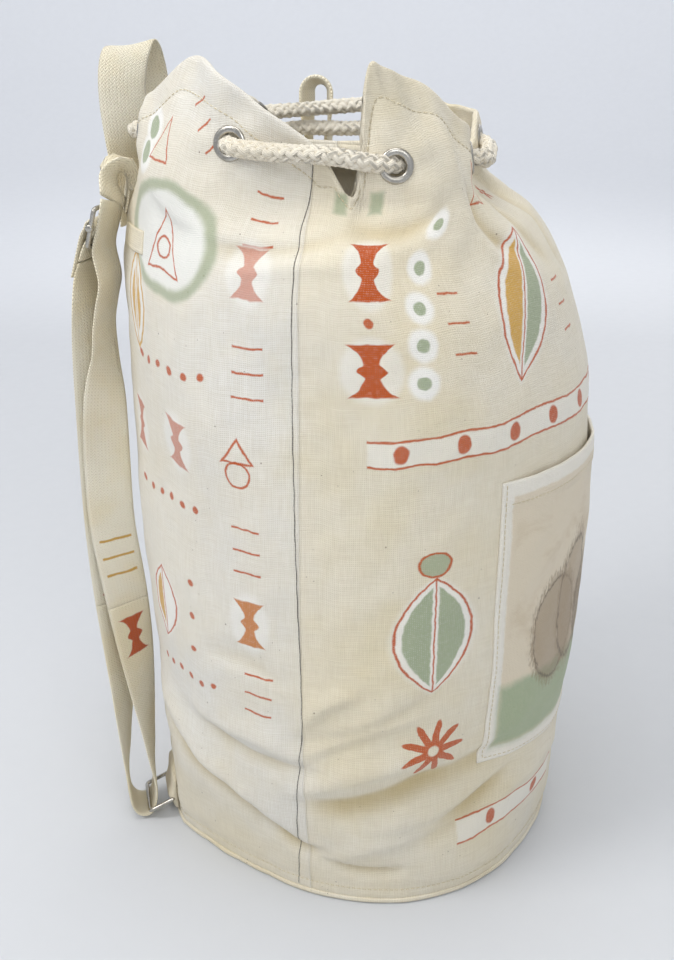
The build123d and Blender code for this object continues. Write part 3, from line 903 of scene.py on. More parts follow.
def normals_outward(obj):
    bm = bmesh.new()
    bm.from_mesh(obj.data)
    bmesh.ops.recalc_face_normals(bm, faces=bm.faces)
    bm.to_mesh(obj.data)
    bm.free()


strap_rows = spread(TOP_RUN + FRONT_RUN + LOWER_BEND + BACK_RUN, STRAP)
strap_line = catmull(strap_rows, int(line_length(strap_rows) / 2.2))
strap_line[:, 3:] = unit(strap_line[:, 3:])


def strap_index(point):
    return int(np.argmin(np.linalg.norm(strap_line[:, :3] - point, axis=1)))


def strap_piece(name, first, last):
    part = strap_line[first:last + 1]
    return ribbon_mesh(name, part, v_start=line_length(strap_line[:first + 1]))


count_top, count_front = len(TOP_RUN), len(TOP_RUN) + len(FRONT_RUN)
cut_top = strap_index(strap_rows[count_top - 1][:3])
cut_front = strap_index(strap_rows[count_front - 1][:3])
cut_back = strap_index(strap_rows[count_front + len(LOWER_BEND) - 1][:3])
top_run = strap_piece("webbing_shoulder_run", 0, cut_top)
front_run = strap_piece("webbing_front_run", cut_top, cut_front)
lower_bend = strap_piece("webbing_lower_bend", cut_front, cut_back)
back_run = strap_piece("webbing_back_run", cut_back, len(strap_line) - 1)

FOLD_PROFILE = [(-36, -6.0), (-18, -5.4), (-7, -4.7), (-2, -3.2), (1.5, -2.6), (3.2, -0.6), (2.6, 1.7),
                (0.5, 2.9), (-3, 2.8), (-7, 1.2), (-12, -1.1), (-18, -2.3), (-24, -2.8)]
fold_rows = np.array([np.concatenate([on_slide(0, up, inward), SLIDE_WIDTH]) for up, inward in FOLD_PROFILE])
bar_fold = ribbon_mesh("webbing_bar_fold", catmull(fold_rows, 70), v_start=1400.0)

HANDLE = -92.0
NEAR_LEG = [(157.6, 20, 434, 0), (157.6, 20, 452, 0), (158.0, 20, 470, 14), (157.0, 20, 490, 34),
            (155.5, 19, 512, 52), (154, 16, 530, 60), (153.2, 9, 542, 62), (153, 0, 546, 62)]
FAR_LEG = [(r, -s, z, t) for r, s, z, t in reversed(NEAR_LEG[:-1])]
handle_line = catmull(spread(NEAR_LEG + FAR_LEG, HANDLE), 120)
handle_line[:, 3:] = unit(handle_line[:, 3:])
crest = smooth(handle_line[:, 2], 480.0, 546.0)
handle_line[:, 1] += 6.0 * crest
handle_line[:, 5] -= 0.16 * crest * np.sign(handle_line[:, 4])
handle = ribbon_mesh("webbing_handle", handle_line, v_start=2000.0)


def patch(name, bearing, sideways, z, width, height):
    """Small square of canvas sewn over a strap end, following the bag."""
    thick, lift = 1.2, 0.2
    columns, rows = 30, 16
    s, t = np.meshgrid(np.linspace(-1, 1, columns), np.linspace(-1, 1, rows))
    bearings = bearing + (s * width / 2 - sideways) / 155 * 180 / pi
    spots = surface(bearings.ravel(), (z + t * height / 2).ravel())
    place, normal = [part.reshape(rows, columns, 3) for part in spots]
    edge = np.minimum(1 - np.abs(s), (1 - np.abs(t)) * height / width) * width / 2
    top = lift + thick * (0.55 + 0.45 * smooth(edge, 0, 1.6)) - 0.35 * groove(edge - 2.6, 0.7)
    uvs = np.stack([(s * width / 2 * MM).ravel(), (t * height / 2 * MM).ravel()], -1)
    obj = two_faced(name, place + normal * (top * MM)[..., None], place + normal * ((lift - 0.2) * MM), uvs)
    normals_outward(obj)
    return obj


# ================================================================ hanging loop
def loop_piece():
    """Folded tape standing up from the far shoulder, open so a peg goes through."""
    x, y, half, top, low = 108.0, 61.0, 8.6, 518.5, 452.0
    arc = np.linspace(pi, 0, 24)
    left = [(y - half * (0.7 + 0.3 * k / 5), low + (top - half - low) * k / 6, -1, 0) for k in range(6)]
    line = left + [(y + half * cos(a), top - half + half * sin(a), cos(a), sin(a)) for a in arc]
    line += [(y + (y - ly), lz, 1, 0) for ly, lz, _, _ in reversed(left)]
    rows = []
    for ly, z, out_y, out_z in line:
        pinch = 0.42 * smooth(z, 478.0, 500.0)
        rows.append([x + 1.5 * sin((z - 452) / 40), ly, z, 1, -pinch * out_y, -pinch * out_z])
    rows = np.array(rows)
    return ribbon_mesh("hanging_loop_tape", resample(rows, 90), width=17.0, thick=2.8, v_start=3000.0)


loop = loop_piece()


# ================================================================ tab for the bottom ring
def tab_piece():
    """Ear of canvas folded round the ring's upper bar and sewn into the base seam."""
    out, side = STRAP_OUT, STRAP_SIDE
    profile = [(143.2, 43), (144.6, 44), (146.4, 42), (147.2, 37), (147.6, 31), (148.6, 25),
               (150.1, 20.5), (150.4, 17), (149.4, 13.6), (147.6, 10.5), (146.6, 7.5), (145.8, 4.6),
               (144.2, 2.9), (142.4, 3.2), (142.0, 8), (142.6, 16), (143.0, 28)]
    closed = periodic(np.array(profile, float), np.linspace(0, len(profile), 56, endpoint=False))
    steps = 33
    rows, uvs = [], []
    run = run_along(closed)
    middle = np.array([144.6, 17.0])
    half_wide = 17.5
    for s in np.linspace(-1, 1, steps):
        narrow = np.array([0.35 + 0.65 * (1 - abs(s) ** 6), 1 - abs(s) ** 3.2 * 0.5])
        shape = middle + (closed - middle) * narrow
        shape[:, 1] = np.maximum(shape[:, 1], 2.6)
        rows.append(out * shape[:, :1] + side * s * half_wide + np.array([0, 0, 1.0]) * shape[:, 1:])
        uvs.append(np.stack([np.full(len(closed), s * half_wide * MM), run * MM], -1))
    points = np.array(rows) * MM
    faces = grid_faces(steps, len(closed), wrap_columns=True).tolist()
    faces.append(list(range(len(closed)))[::-1])
    faces.append([(steps - 1) * len(closed) + k for k in range(len(closed))])
    obj = new_object("ring_tab", points.reshape(-1, 3), faces, np.array(uvs).reshape(-1, 2))
    normals_outward(obj)
    return obj


tab = tab_piece()


# ================================================================ metal
WIRE = 1.5


def wire_loop(heap, corners, radius, bend):
    """Round wire through corners with small bends."""
    corners = np.asarray(corners, float)
    line = []
    n = len(corners)
    for k in range(n):
        before, here, after = corners[k - 1], corners[k], corners[(k + 1) % n]
        a, b = unit(before - here), unit(after - here)
        for t in np.linspace(0, 1, 7):
            p, q = here + a * bend, here + b * bend
            line.append((1 - t) ** 2 * p + 2 * t * (1 - t) * here + t * t * q)
    line = np.array(line + [line[0]])
    line = resample(line, max(60, int(line_length(line) / 0.8)))[:-1]
    ahead = unit(np.roll(line, -1, 0) - np.roll(line, 1, 0))
    plane = unit(np.cross(corners[1] - corners[0], corners[2] - corners[1]))
    across = unit(np.cross(ahead, plane))
    a = np.linspace(0, 2 * pi, 12, endpoint=False)
    verts = line[:, None] + around(a, across[:, None], plane) * radius
    faces = grid_faces(len(line), 12, wrap_rows=True, wrap_columns=True).tolist()
    heap.add(verts.reshape(-1, 3) * MM, faces)


def slide_piece():
    """Oblong of wire with a middle bar that dips between two round bosses."""
    heap = Heap()
    rise = 2.4
    corners = [on_slide(x, y, rise) for x, y in ((-18, 12.5), (18, 12.5), (18, -12.5), (-18, -12.5))]
    wire_loop(heap, corners, WIRE, bend=3.0)
    bar = np.array([on_slide(x, 0, z) for x, z in ((-18, 1.6), (-17.4, 0.6), (-15, 0.1), (0, 0), (15, 0.1),
                                                  (17.4, 0.6), (18, 1.6))]) * MM
    heap.tube(bar, 1.35 * MM, sides=12)
    for x in (-18, 18):
        boss = np.array([on_slide(x + d, 0, rise - 0.5) for d in (-2.2, -2.0, -1.2, 0, 1.2, 2.0, 2.2)]) * MM
        heap.tube(boss, 2.6 * MM, sides=20, taper=[0.55, 0.8, 0.97, 1, 0.97, 0.8, 0.55])
    return heap.object("strap_slide_metal")


slide = slide_piece()


# Distance out and height of the ring's upper bar, which turns in the tab.
RING_PIVOT = (146.2, 17)


def ring_piece():
    """Oblong wire ring, hanging from the tab."""
    heap = Heap()
    half_wide = 17.5
    corners = []
    for (out, z), side in ((RING_PIVOT, -1), (RING_PIVOT, 1), ((164.5, 8.5), 1), ((164.5, 8.5), -1)):
        corners.append(STRAP_OUT * out + STRAP_SIDE * side * half_wide + np.array([0, 0, z]))
    wire_loop(heap, corners, WIRE, bend=2.6)
    return heap.object("strap_ring_metal")


ring = ring_piece()


# ================================================================ stitching and seams
def stitch_line(heap, places, normals, stitch=2.6, gap=1.1, radius=0.32, sink=0.05):
    """Separate thread stitches along places (metres), each dipping into the cloth at its ends."""
    places = np.asarray(places, float)
    run = run_along(places)
    pitch = (stitch + gap) * MM
    for k in range(int(run[-1] / pitch)):
        at = k * pitch + np.linspace(0, stitch * MM, 6)
        line = np.stack([np.interp(at, run, places[:, c]) for c in range(3)], 1)
        normal = unit(np.stack([np.interp(at, run, normals[:, c]) for c in range(3)], 1))
        bow = np.array([-0.5, 0.35, 0.75, 0.75, 0.35, -0.5])[:, None]
        heap.tube(line + normal * (bow * radius - sink) * MM, radius * MM, sides=5)


def seam_thread():
    """Dark thread along both side seams, following the cloth."""
    heap = Heap()
    for seam in (seam_wander, lambda z: 180.0 + 0 * z):
        z = np.linspace(6, rim_at(seam(480.0)) - 1.5, 420)
        place, normal = surface(seam(z) + 0.05 * np.sin(z * 0.35), z)
        stitch_line(heap, place, normal, stitch=3.0, gap=0.2, radius=0.24, sink=-0.1)
    return heap.object("side_seam_thread")


def hem_thread():
    """Rows of stitches round the rim's hem, which stop at the eyelets, and above the base binding."""
    heap = Heap()
    b = np.linspace(-179.8, 179.8, 900)
    place, normal = surface(b, hem_line(b))
    away = np.min([np.linalg.norm(place - eyelet.skin, axis=1) for eyelet in EYELETS], axis=0)
    start = 0
    clear = away > 0.0115
    for k in range(1, len(b) + 1):
        if k == len(b) or clear[k] != clear[start]:
            if clear[start] and k - start > 4:
                stitch_line(heap, place[start:k], normal[start:k])
            start = k
    b = np.linspace(-179.9, 179.9, 900)
    place, normal = surface(b, 0 * b + 11.5)
    stitch_line(heap, place, normal, radius=0.3)
    return heap.object("canvas_stitches")


def pocket_thread():
    """Stitches along the pocket's three sewn edges and its top hem."""
    heap = Heap()
    b0, b1, z0, z1 = POCKET
    inset = 3.2
    left, right = b0 + inset / MM_PER_DEGREE, b1 - inset / MM_PER_DEGREE
    path = [(left, z1 - 2), (left, z0 + inset), (right, z0 + inset), (right, z1 - 2)]
    rows = []
    for (ba, za), (bb, zb) in zip(path, path[1:]):
        count = int(max(abs(bb - ba) * 2.7, abs(zb - za)) / 2)
        rows += [(ba + (bb - ba) * k / count, za + (zb - za) * k / count) for k in range(count)]
    for line in (rows, [(b, z1 - 15.5) for b in np.linspace(b0 + 3, b1 - 3, 120)]):
        line = np.array(line)
        place, normal = surface(line[:, 0], line[:, 1])
        s, t = (line[:, 0] - b0) / (b1 - b0), (line[:, 1] - z0) / (z1 - z0)
        lift = pocket_lift(s, t) + 0.25
        stitch_line(heap, place + normal * (lift * MM)[:, None], normal)
    return heap.object("pocket_stitches")


seams, hems, pocket_seams = seam_thread(), hem_thread(), pocket_thread()


strap_patch = patch("strap_anchor_canvas", STRAP, -22, 439, 38, 14)
handle_patch = patch("handle_canvas", HANDLE, 0, 443, 70, 20)


def tab_stitches():
    """The curved row of stitching that holds the tab down."""
    heap = Heap()
    a = np.linspace(radians(-70), radians(80), 60)
    b = STRAP + (13.0 * np.cos(a) + 5.5) / 2.6
    place, normal = surface(b, 26 + 22 * np.sin(a))
    stitch_line(heap, place, normal, radius=0.36)
    return heap.object("tab_stitching")


tab_seam = tab_stitches()


# ================================================================ materials
def colour(hex_code):
    """Linear colour from an sRGB hex code."""
    parts = [int(hex_code[k:k + 2], 16) / 255 for k in (0, 2, 4)]
    return tuple(p / 12.92 if p <= 0.04045 else ((p + 0.055) / 1.055) ** 2.4 for p in parts) + (1.0,)


class Value:
    """A shader socket that takes part in ordinary arithmetic; each step adds one node."""

    def __init__(self, nodes, socket):
        self.nodes = nodes
        self.socket = socket

    def __add__(self, other):
        return self.nodes.math("ADD", self, other)

    def __mul__(self, other):
        return self.nodes.math("MULTIPLY", self, other)

    def __sub__(self, other):
        return self.nodes.math("SUBTRACT", self, other)

    def __rsub__(self, other):
        return self.nodes.math("SUBTRACT", other, self)

    def __truediv__(self, other):
        return self.nodes.math("DIVIDE", self, other)

    def __pow__(self, other):
        return self.nodes.math("POWER", self, other)

    def __abs__(self):
        return self.nodes.math("ABSOLUTE", self)


class Nodes:
    """Shorthand for building one material's nodes."""

    def __init__(self, name):
        self.base = None
        self.material = bpy.data.materials.new(name)
        self.material.use_nodes = True
        self.tree = self.material.node_tree
        self.tree.nodes.clear()
        output = self.tree.nodes.new("ShaderNodeOutputMaterial")
        self.shader = self.tree.nodes.new("ShaderNodeBsdfPrincipled")
        self.tree.links.new(self.shader.outputs[0], output.inputs[0])

    def plug(self, value, socket):
        if isinstance(value, Value):
            self.tree.links.new(value.socket, socket)
        elif value is not None:
            socket.default_value = value

    def node(self, kind, inputs, output=0, **settings):
        """One output of a new node; inputs go by the socket's name or number."""
        node = self.tree.nodes.new("ShaderNode" + kind)
        for setting, value in settings.items():
            setattr(node, setting, value)
        for socket, value in inputs.items():
            self.plug(value, node.inputs[socket])
        return Value(self, node.outputs[output])

    def math(self, kind, *terms, clamp=False):
        return self.node("Math", dict(enumerate(terms)), operation=kind, use_clamp=clamp)

    def largest(self, a, b):
        return self.math("MAXIMUM", a, b)

    def sine(self, a):
        return self.math("SINE", a)

    def vector(self, kind, a, b):
        return self.node("VectorMath", {0: a, 1: b}, operation=kind)

    def join(self, x, y):
        return self.node("CombineXYZ", {0: x, 1: y})

    def split(self, vector):
        first = self.node("SeparateXYZ", {0: vector}).socket
        return [Value(self, socket) for socket in first.node.outputs]

    def uv(self):
        return self.node("UVMap", {}, uv_map="UVMap")

    def place(self):
        return self.node("TexCoord", {}, "Object")

    def noise(self, vector, scale, detail=3.0, rough=0.55, distortion=0.0, output=0):
        return self.node("TexNoise", {"Vector": vector, "Scale": scale, "Detail": detail, "Roughness": rough,
                                      "Distortion": distortion}, output)

    def voronoi(self, vector, scale, output):
        return self.node("TexVoronoi", {"Vector": vector, "Scale": scale, "Randomness": 1.0}, output)

    def remap(self, value, low, high, to_low=0.0, to_high=1.0):
        """Smooth step from to_low at low to to_high at high."""
        inputs = dict(enumerate((value, low, high, to_low, to_high)))
        return self.node("MapRange", inputs, interpolation_type="SMOOTHSTEP")

    def mix(self, factor, a, b, blend="MIX"):
        inputs = {"Factor": factor, "A": a, "B": b}
        first = self.node("Mix", inputs, data_type="RGBA", blend_type=blend).socket
        return [Value(self, socket) for socket in first.node.outputs if socket.type == "RGBA"][0]

    def bump(self, height, distance, strength, normal=None):
        return self.node("Bump", {"Strength": strength, "Distance": distance, "Height": height,
                                  "Normal": normal})

    def coat(self, mask, paint, blend="MIX"):
        """Lay a colour over the base colour where mask is 1."""
        self.base = self.mix(mask, self.base, paint, blend)

    def finish(self, roughness, normal, metallic=0.0, sheen=0.0, specular=0.3):
        looks = {"Base Color": self.base, "Roughness": roughness, "Normal": normal, "Metallic": metallic,
                 "Sheen Weight": sheen, "Specular IOR Level": specular}
        for socket, value in looks.items():
            self.plug(value, self.shader.inputs[socket])
        return self.material


RUST, OCHRE, SAGE = colour("BF5316"), colour("D3A23C"), colour("A0AB8A")
CREAM, WARM, COOL = colour("F1EAD8"), colour("EEE2C4"), colour("ECE9E1")
CHALK, IVORY = colour("F6F4EE"), colour("F4F1E8")


class Paint:
    """Hand-painted generic shapes on cloth, laid down in order over a base colour.

    A place is (u, v) on the cloth in metres; sizes and distances are millimetres."""

    def __init__(self, nodes, brush):
        self.n = nodes
        self.brush = brush
        uv = nodes.uv()
        wobble = nodes.vector("SUBTRACT", nodes.noise(uv, 160, 2.0, 0.5, output="Color"), (0.5, 0.5, 0.5))
        self.uv = nodes.vector("ADD", uv, nodes.vector("MULTIPLY", wobble, (0.0022, 0.0022, 0.0022)))

    def local(self, place, tilt=0.0):
        """Distance from a motif's centre, x round the bag and y up."""
        inputs = {"Vector": self.uv, "Location": (*place, 0), "Rotation": (0, 0, radians(tilt)),
                  "Scale": (MM, MM, MM)}
        return self.n.split(self.n.node("Mapping", inputs, vector_type="TEXTURE"))[:2]

    def lay(self, distance, paint, soft=0.7, strength=0.95):
        """Paint where distance is below zero, thin where the brush ran dry."""
        full = self.n.remap(self.brush, 0.10, 0.44, 0.62 * strength, strength)
        self.n.coat(self.n.remap(distance, soft, -soft) * full, paint)

    def halo(self, distance, reach=4.0, strength=0.5):
        self.n.coat(self.n.remap(distance, reach, -0.5 * reach, 0.0, strength), CHALK)

    def ellipse(self, x, y, a, b):
        return (self.n.math("SQRT", (x / a) ** 2.0 + (y / b) ** 2.0) - 1.0) * min(a, b)

    def box(self, x, y, a, b):
        return self.n.largest(abs(x) - a, abs(y) - b)

    def fold(self, x, count, step):
        """Repeat a shape count times along x, step apart."""
        shifted = x + (count - 1) / 2 * step
        k = self.n.largest(self.n.math("ROUND", shifted / step), 0.0)
        return shifted - self.n.math("MINIMUM", k, count - 1.0) * step

    def hourglass(self, place, width, height, paint=RUST, halo=True, strength=1.0):
        x, y = self.local(place)
        up = abs(y / (height / 2))
        waist = up ** 2.6 * (0.36 * width) + 0.14 * width
        bead = self.n.remap(up, 0.3, 0.0) * (0.17 * width)
        if halo:
            self.halo(self.ellipse(x, y, width * 0.62, height * 0.6))
        self.lay(self.n.largest(abs(x) - (waist + bead), (up - 1.0) * (height / 2)), paint, strength=strength)

    def dashes(self, place, length, count, step, paint=RUST, tilt=0.0, thick=0.7):
        x, y = self.local(place, tilt)
        self.lay(self.box(x, self.fold(y, count, step), length / 2, thick), paint, soft=0.5)

    def dots(self, place, radius, count, step, paint=RUST, tilt=0.0, upright=False, halo=0.0):
        x, y = self.local(place, tilt)
        if upright:
            y = self.fold(y, count, step)
        else:
            x = self.fold(x, count, step)
        if halo:
            self.halo(self.ellipse(x, y, halo, halo), 3, 0.85)
        self.lay(self.ellipse(x, y, radius, radius * 0.92), paint)

    def leaf(self, place, width, height, tilt=0.0, left=OCHRE, right=SAGE, line=RUST):
        """Pointed oval with a midrib, each half its own colour."""
        n = self.n
        x, y = self.local(place, tilt)
        reach = (1.0 - abs(y / (height / 2)) ** 2.0) * (width / 2)
        outside = (abs(x) - reach) * 0.8
        self.halo(outside, 5, 0.7)
        inner = outside + 4.0
        self.lay(n.largest(inner, x + 2.2), left)
        self.lay(n.largest(inner, 2.2 - x), right)
        self.lay(abs(outside) - 0.75, line, soft=0.5)
        self.lay(n.largest(abs(x) - 0.55, outside), line, soft=0.5)

    def star(self, place, radius, points):
        n = self.n
        x, y = self.local(place)
        r = n.math("SQRT", x * x + y * y)
        wave = abs(n.math("COSINE", n.math("ARCTAN2", y, x) * (points / 2)))
        reach = wave ** 2.4 * (0.66 * radius) + 0.34 * radius
        self.lay(n.largest((r - reach) * 0.6, 0.17 * radius - r), RUST)

    def ring(self, place, a, b, fill=None):
        x, y = self.local(place)
        edge = self.ellipse(x, y, a, b)
        if fill is not None:
            self.lay(edge, fill, strength=0.85)
        self.lay(abs(edge) - 0.7, RUST, soft=0.5)

    def triangle(self, place, width, height):
        x, y = self.local(place)
        slope = abs(x) * (2 * height / width) + (y - height / 2)
        edge = self.n.largest(slope * 0.5, 0.0 - (y + height / 2))
        self.lay(abs(edge) - 0.7, RUST, soft=0.5)

    def frame_block(self, place, a, b, border):
        """Soft sprayed border round a whitened block."""
        edge = self.ellipse(*self.local(place), a, b)
        self.n.coat(self.n.remap(edge, border * 0.4, -border * 0.2, 0.0, 0.75), SAGE)
        self.n.coat(self.n.remap(edge, -border * 0.45, -border * 1.15, 0.0, 0.9), colour("F3F1EA"))

    def band(self, low, high, b0, b1, lens_step, tilt=0.0):
        """Two lines with lens shapes between them."""
        length, half = (b1 - b0) * MM_PER_DEGREE, (high - low) / 2 / MM
        x, y = self.local(((b0 + b1) / 2 * U_PER_DEGREE, (low + high) / 2), tilt)
        past_end, past_side = abs(x) - length / 2, abs(y) - half
        self.n.coat(self.n.remap(self.n.largest(past_end, past_side), 1.0, -2.0, 0.0, 0.55), IVORY)
        self.lay(self.n.largest(abs(past_side) - 0.7, past_end), RUST, soft=0.5)
        lens_x = self.fold(x, max(1, int(length / lens_step)), lens_step)
        self.lay(self.ellipse(lens_x, y, 4.6, half * 0.72), RUST)


def spot(bearing, z):
    """Place on the cloth at a bearing and height."""
    return (bearing * U_PER_DEGREE, v_at(bearing, z))


def paint_front(p):
    p.hourglass(spot(18.3, 440), 31, 34)
    p.hourglass(spot(17, 386), 31, 31)
    p.dots(spot(17.1, 413), 3.2, 1, 10)
    for bearing, z in ((38, 462), (34, 440), (31, 419), (29.5, 399), (28.5, 378)):
        p.dots(spot(bearing, z), 4.4, 1, 10, paint=SAGE, halo=9)
    for bearing, z in ((8, 470), (17, 472)):
        x, y = p.local(spot(bearing, z))
        p.lay(p.box(x, y, 4.5, 6.5), SAGE, soft=2.2, strength=0.8)
    p.dashes(spot(40, 409), 16, 3, 18)
    p.dashes(spot(79, 402), 14, 3, 16)
    p.leaf(spot(62, 413), 44, 98, tilt=-24)
    p.band(v_at(45, 331), v_at(45, 347), 15, 100, 38)
    p.leaf(spot(31, 214), 52, 82, left=SAGE, right=SAGE)
    p.ring(spot(30.5, 264), 10, 8, fill=SAGE)
    p.star(spot(32, 128), 23, 9)
    p.band(v_at(60, 44), v_at(60, 62), 41, 84, 52, tilt=2)
    p.star(spot(84, 466), 9, 6)
    p.triangle(spot(58, 478), 20, 24)


def paint_back(p):
    p.frame_block(spot(-38, 447), 46, 34, 7)
    p.dots(spot(-51, 500), 7, 2, 15, paint=SAGE, upright=True, halo=11)
    p.triangle(spot(-44, 502), 20, 26)
    p.dashes(spot(-31, 512), 13, 3, 15, tilt=38)
    p.triangle(spot(-38, 446), 34, 36)
    p.ring(spot(-38, 441), 7, 6)
    p.leaf(spot(-51, 404), 24, 60, left=OCHRE, right=OCHRE, line=OCHRE)
    p.dashes(spot(-11, 462), 20, 3, 16)
    p.hourglass(spot(-12.2, 436), 22, 30, strength=0.66)
    p.dashes(spot(-12, 379), 20, 3, 15)
    p.dots(spot(-37, 371), 2.8, 6, 14, tilt=4)
    p.hourglass(spot(-53.5, 322), 20, 30, strength=0.8)
    p.hourglass(spot(-33.3, 324), 22, 30, strength=0.72)
    p.triangle(spot(-14.4, 331), 20, 14)
    p.ring(spot(-14.4, 316), 8, 8)
    p.dots(spot(-40, 284), 2.6, 6, 13, tilt=5)
    p.dashes(spot(-13, 266), 20, 3, 15)
    p.leaf(spot(-44, 203), 34, 52, left=OCHRE, right=IVORY)
    p.dots(spot(-31, 206), 2.4, 3, 24, upright=True)
    p.hourglass(spot(-13, 215), 22, 32, paint=colour("C9824A"))
    p.dots(spot(-36, 158), 2.5, 6, 12, tilt=5)
    p.dashes(spot(-11.5, 163), 20, 3, 14, tilt=-4)
    for bearing in (-78, -120, -160):
        p.hourglass(spot(bearing, 320), 24, 32)
        p.dots(spot(bearing, 270), 3, 5, 14)
        p.star(spot(bearing - 12, 214), 18, 8)
        p.dashes(spot(bearing, 382), 20, 3, 15)


# Ovals on the pocket: (x, y) from its centre, half width, half height, colour.
HILLS = [(-52, -18, 30, 42, "8C7455"), (-28, -6, 26, 52, "A08A6C"),
         (12, -20, 34, 40, "7C674C"), (48, -12, 30, 46, "98805F")]


def paint_pocket(p):
    """White border, beige field, green ground and a generic pattern of ovals."""
    n = p.n
    b0, b1, z0, z1 = POCKET
    low, high = v_at(b0, z0), v_at(b0, z1)
    u, v = (b0 + b1) / 2 * U_PER_DEGREE, (low + high) / 2
    x, y = p.local((u, v))
    field = p.box(x, y, (b1 - b0) * MM_PER_DEGREE / 2 - 9, (high - low) / 2 / MM - 10)
    n.coat(0.6, colour("F4F0E6"))
    n.coat(n.remap(field, 1.0, -1.5, 0.0, 0.75), colour("DDCDB0"))
    wash = n.noise(p.uv, 22, 5, 0.65, 0.6)
    n.coat(n.remap(wash, 0.5, 0.7) * n.remap(field, 0.0, -8.0, 0.0, 0.4), colour("C4AE8C"))
    ground = n.largest(y + (n.noise(p.uv, 30) * 16.0 + 36.0), field)
    p.lay(ground, colour("98AB87"), soft=5, strength=0.85)
    for hill_x, hill_y, a, b, shade in HILLS:
        x, y = p.local((u + hill_x * MM, v + hill_y * MM))
        hill = p.ellipse(x, y, a, b)
        streak = n.noise(n.join(x * 0.25, y * 0.06), 2.2, 4, 0.7)
        p.lay(n.largest((streak - 0.5) * 26.0 + hill, field), colour(shade), soft=2.5, strength=0.62)
        p.lay(abs(streak * 7.0 + hill) - 0.6, colour("4E3F30"), strength=0.7)


def weave_height(n, x, y, pitch):
    """Plain weave: warp and weft threads that pass over each other."""
    warp, weft = n.sine(x * (pi / pitch)), n.sine(y * (pi / pitch))
    over = warp * weft * 0.45
    return n.largest(abs(warp) + over, abs(weft) - over)


def cloth(name, warm, painter=None):
    """Natural canvas with slubs, flecks and painted shade in the creases, and what painter lays on it."""
    n = Nodes(name)
    uv, place = n.uv(), n.place()
    x, y, _ = n.split(uv)
    slubs = n.noise(n.join(x * 0.06, y), 900, 2) + n.noise(n.join(x, y * 0.06), 900, 2)
    threads = slubs * 0.5
    weave = weave_height(n, n.noise(uv, 120, 2) * 0.0012 + x, n.noise(uv, 130, 2) * 0.0012 + y, 1.25 * MM)
    fuzz = n.noise(uv, 1500)
    broad = n.noise(place, 7, 4, 0.6)
    patchy = n.noise(place, 26, 4, 0.65)
    tone = n.math("MULTIPLY_ADD", broad - 0.5, 1.7, warm, clamp=True)
    n.base = n.mix(tone, COOL, WARM)
    n.coat(n.remap(patchy, 0.35, 0.75, 0.0, 0.35), CREAM)
    n.coat(n.remap(n.noise(place, 11), 0.52, 0.75, 0.0, 0.35), colour("E3D3A2"))
    # Yellower and darker towards the bottom of the bag, in broad patches.
    lower_tint = n.remap(n.split(place)[2], 0.26, 0.03) * n.remap(broad, 0.35, 0.62, 0.3, 1.0)
    n.coat(lower_tint * 0.24, colour("DCCA97"))
    n.coat(n.remap(threads, 0.35, 0.65, 0.16, 0.0), colour("BDAF8C"), "MULTIPLY")
    n.coat(n.remap(weave, 0.9, 0.2, 0.0, 0.30), colour("A8966E"), "MULTIPLY")
    # Painted shade: the crease valleys darkened and yellowed by the crease depth stored on the mesh.
    fold = n.node("Attribute", {}, "Fac", attribute_name="fold")
    n.coat(n.remap(fold, 0.3, 3.6, 0.0, 0.75), colour("D6C48E"), "MULTIPLY")
    for scale, size, keep in ((95, 0.045, 0.78), (210, 0.06, 0.86)):
        near = n.voronoi(uv, scale, "Distance")
        pick = n.split(n.voronoi(uv, scale, "Color"))[0]
        fleck = n.remap(near, size * 1.8, size * 0.5) * n.remap(pick, keep, keep + 0.01)
        n.coat(fleck * 0.7, colour("6B5334"))
    if painter:
        painter(Paint(n, (weave - 0.9) * 0.55 + n.noise(uv, 420)))
    normal = n.bump(weave * 0.55 + threads * 0.5 + fuzz * 0.35, 0.00045, 0.8)
    normal = n.bump(patchy, 0.004, 0.12, normal)
    return n.finish(n.remap(fuzz, 0.3, 0.7, 0.82, 0.95), normal, sheen=0.25)


def webbing_cloth(name, painter=None):
    """Knitted cotton webbing: columns of small chevrons, 13 across the width."""
    n = Nodes(name)
    uv = n.uv()
    x, y, _ = n.split(uv)
    vee = abs(n.math("FRACT", x * (1 / 0.00238)) - 0.5)
    rows = vee * 1.7 + y * (1 / 0.0021) + n.noise(uv, 260, 2) * 0.45
    chevrons = abs(n.sine(rows * pi))
    spine = n.math("MINIMUM", (0.5 - vee) * 2.0, 0.5)
    fibres = n.noise(n.join(x * 0.4, y), 2200)
    stain = n.noise(n.place(), 15, 4, 0.6)
    n.base = n.mix(n.remap(stain, 0.35, 0.7), colour("FBF4DF"), colour("F6E9C6"))
    hole = n.remap(chevrons, 0.5, 0.06) * n.remap(vee, 0.18, 0.46)
    n.coat(hole * 0.45, colour("B39C6A"))
    n.coat(n.remap(chevrons, 0.55, 0.0, 0.0, 0.2), colour("C4AE7C"), "MULTIPLY")
    n.coat(n.remap(fibres, 0.4, 0.65, 0.0, 0.14), colour("F6EDD4"))
    if painter:
        painter(Paint(n, chevrons * 0.25 + n.noise(uv, 500)))
    height = chevrons * 0.75 + spine * 0.5 + fibres * 0.25
    return n.finish(n.remap(fibres, 0.3, 0.7, 0.8, 0.95), n.bump(height, 0.0009, 0.9), sheen=0.25)


def thread_cloth(name, light, dark):
    n = Nodes(name)
    x, y, _ = n.split(n.uv())
    twist = n.sine(x * 6500.0 + y * 5200.0)
    n.base = n.mix(n.remap(twist, -0.6, 0.8), colour(dark), colour(light))
    return n.finish(n.remap(twist, -1, 1, 0.7, 0.85), n.bump(twist, 0.0001, 0.7), sheen=0.2)


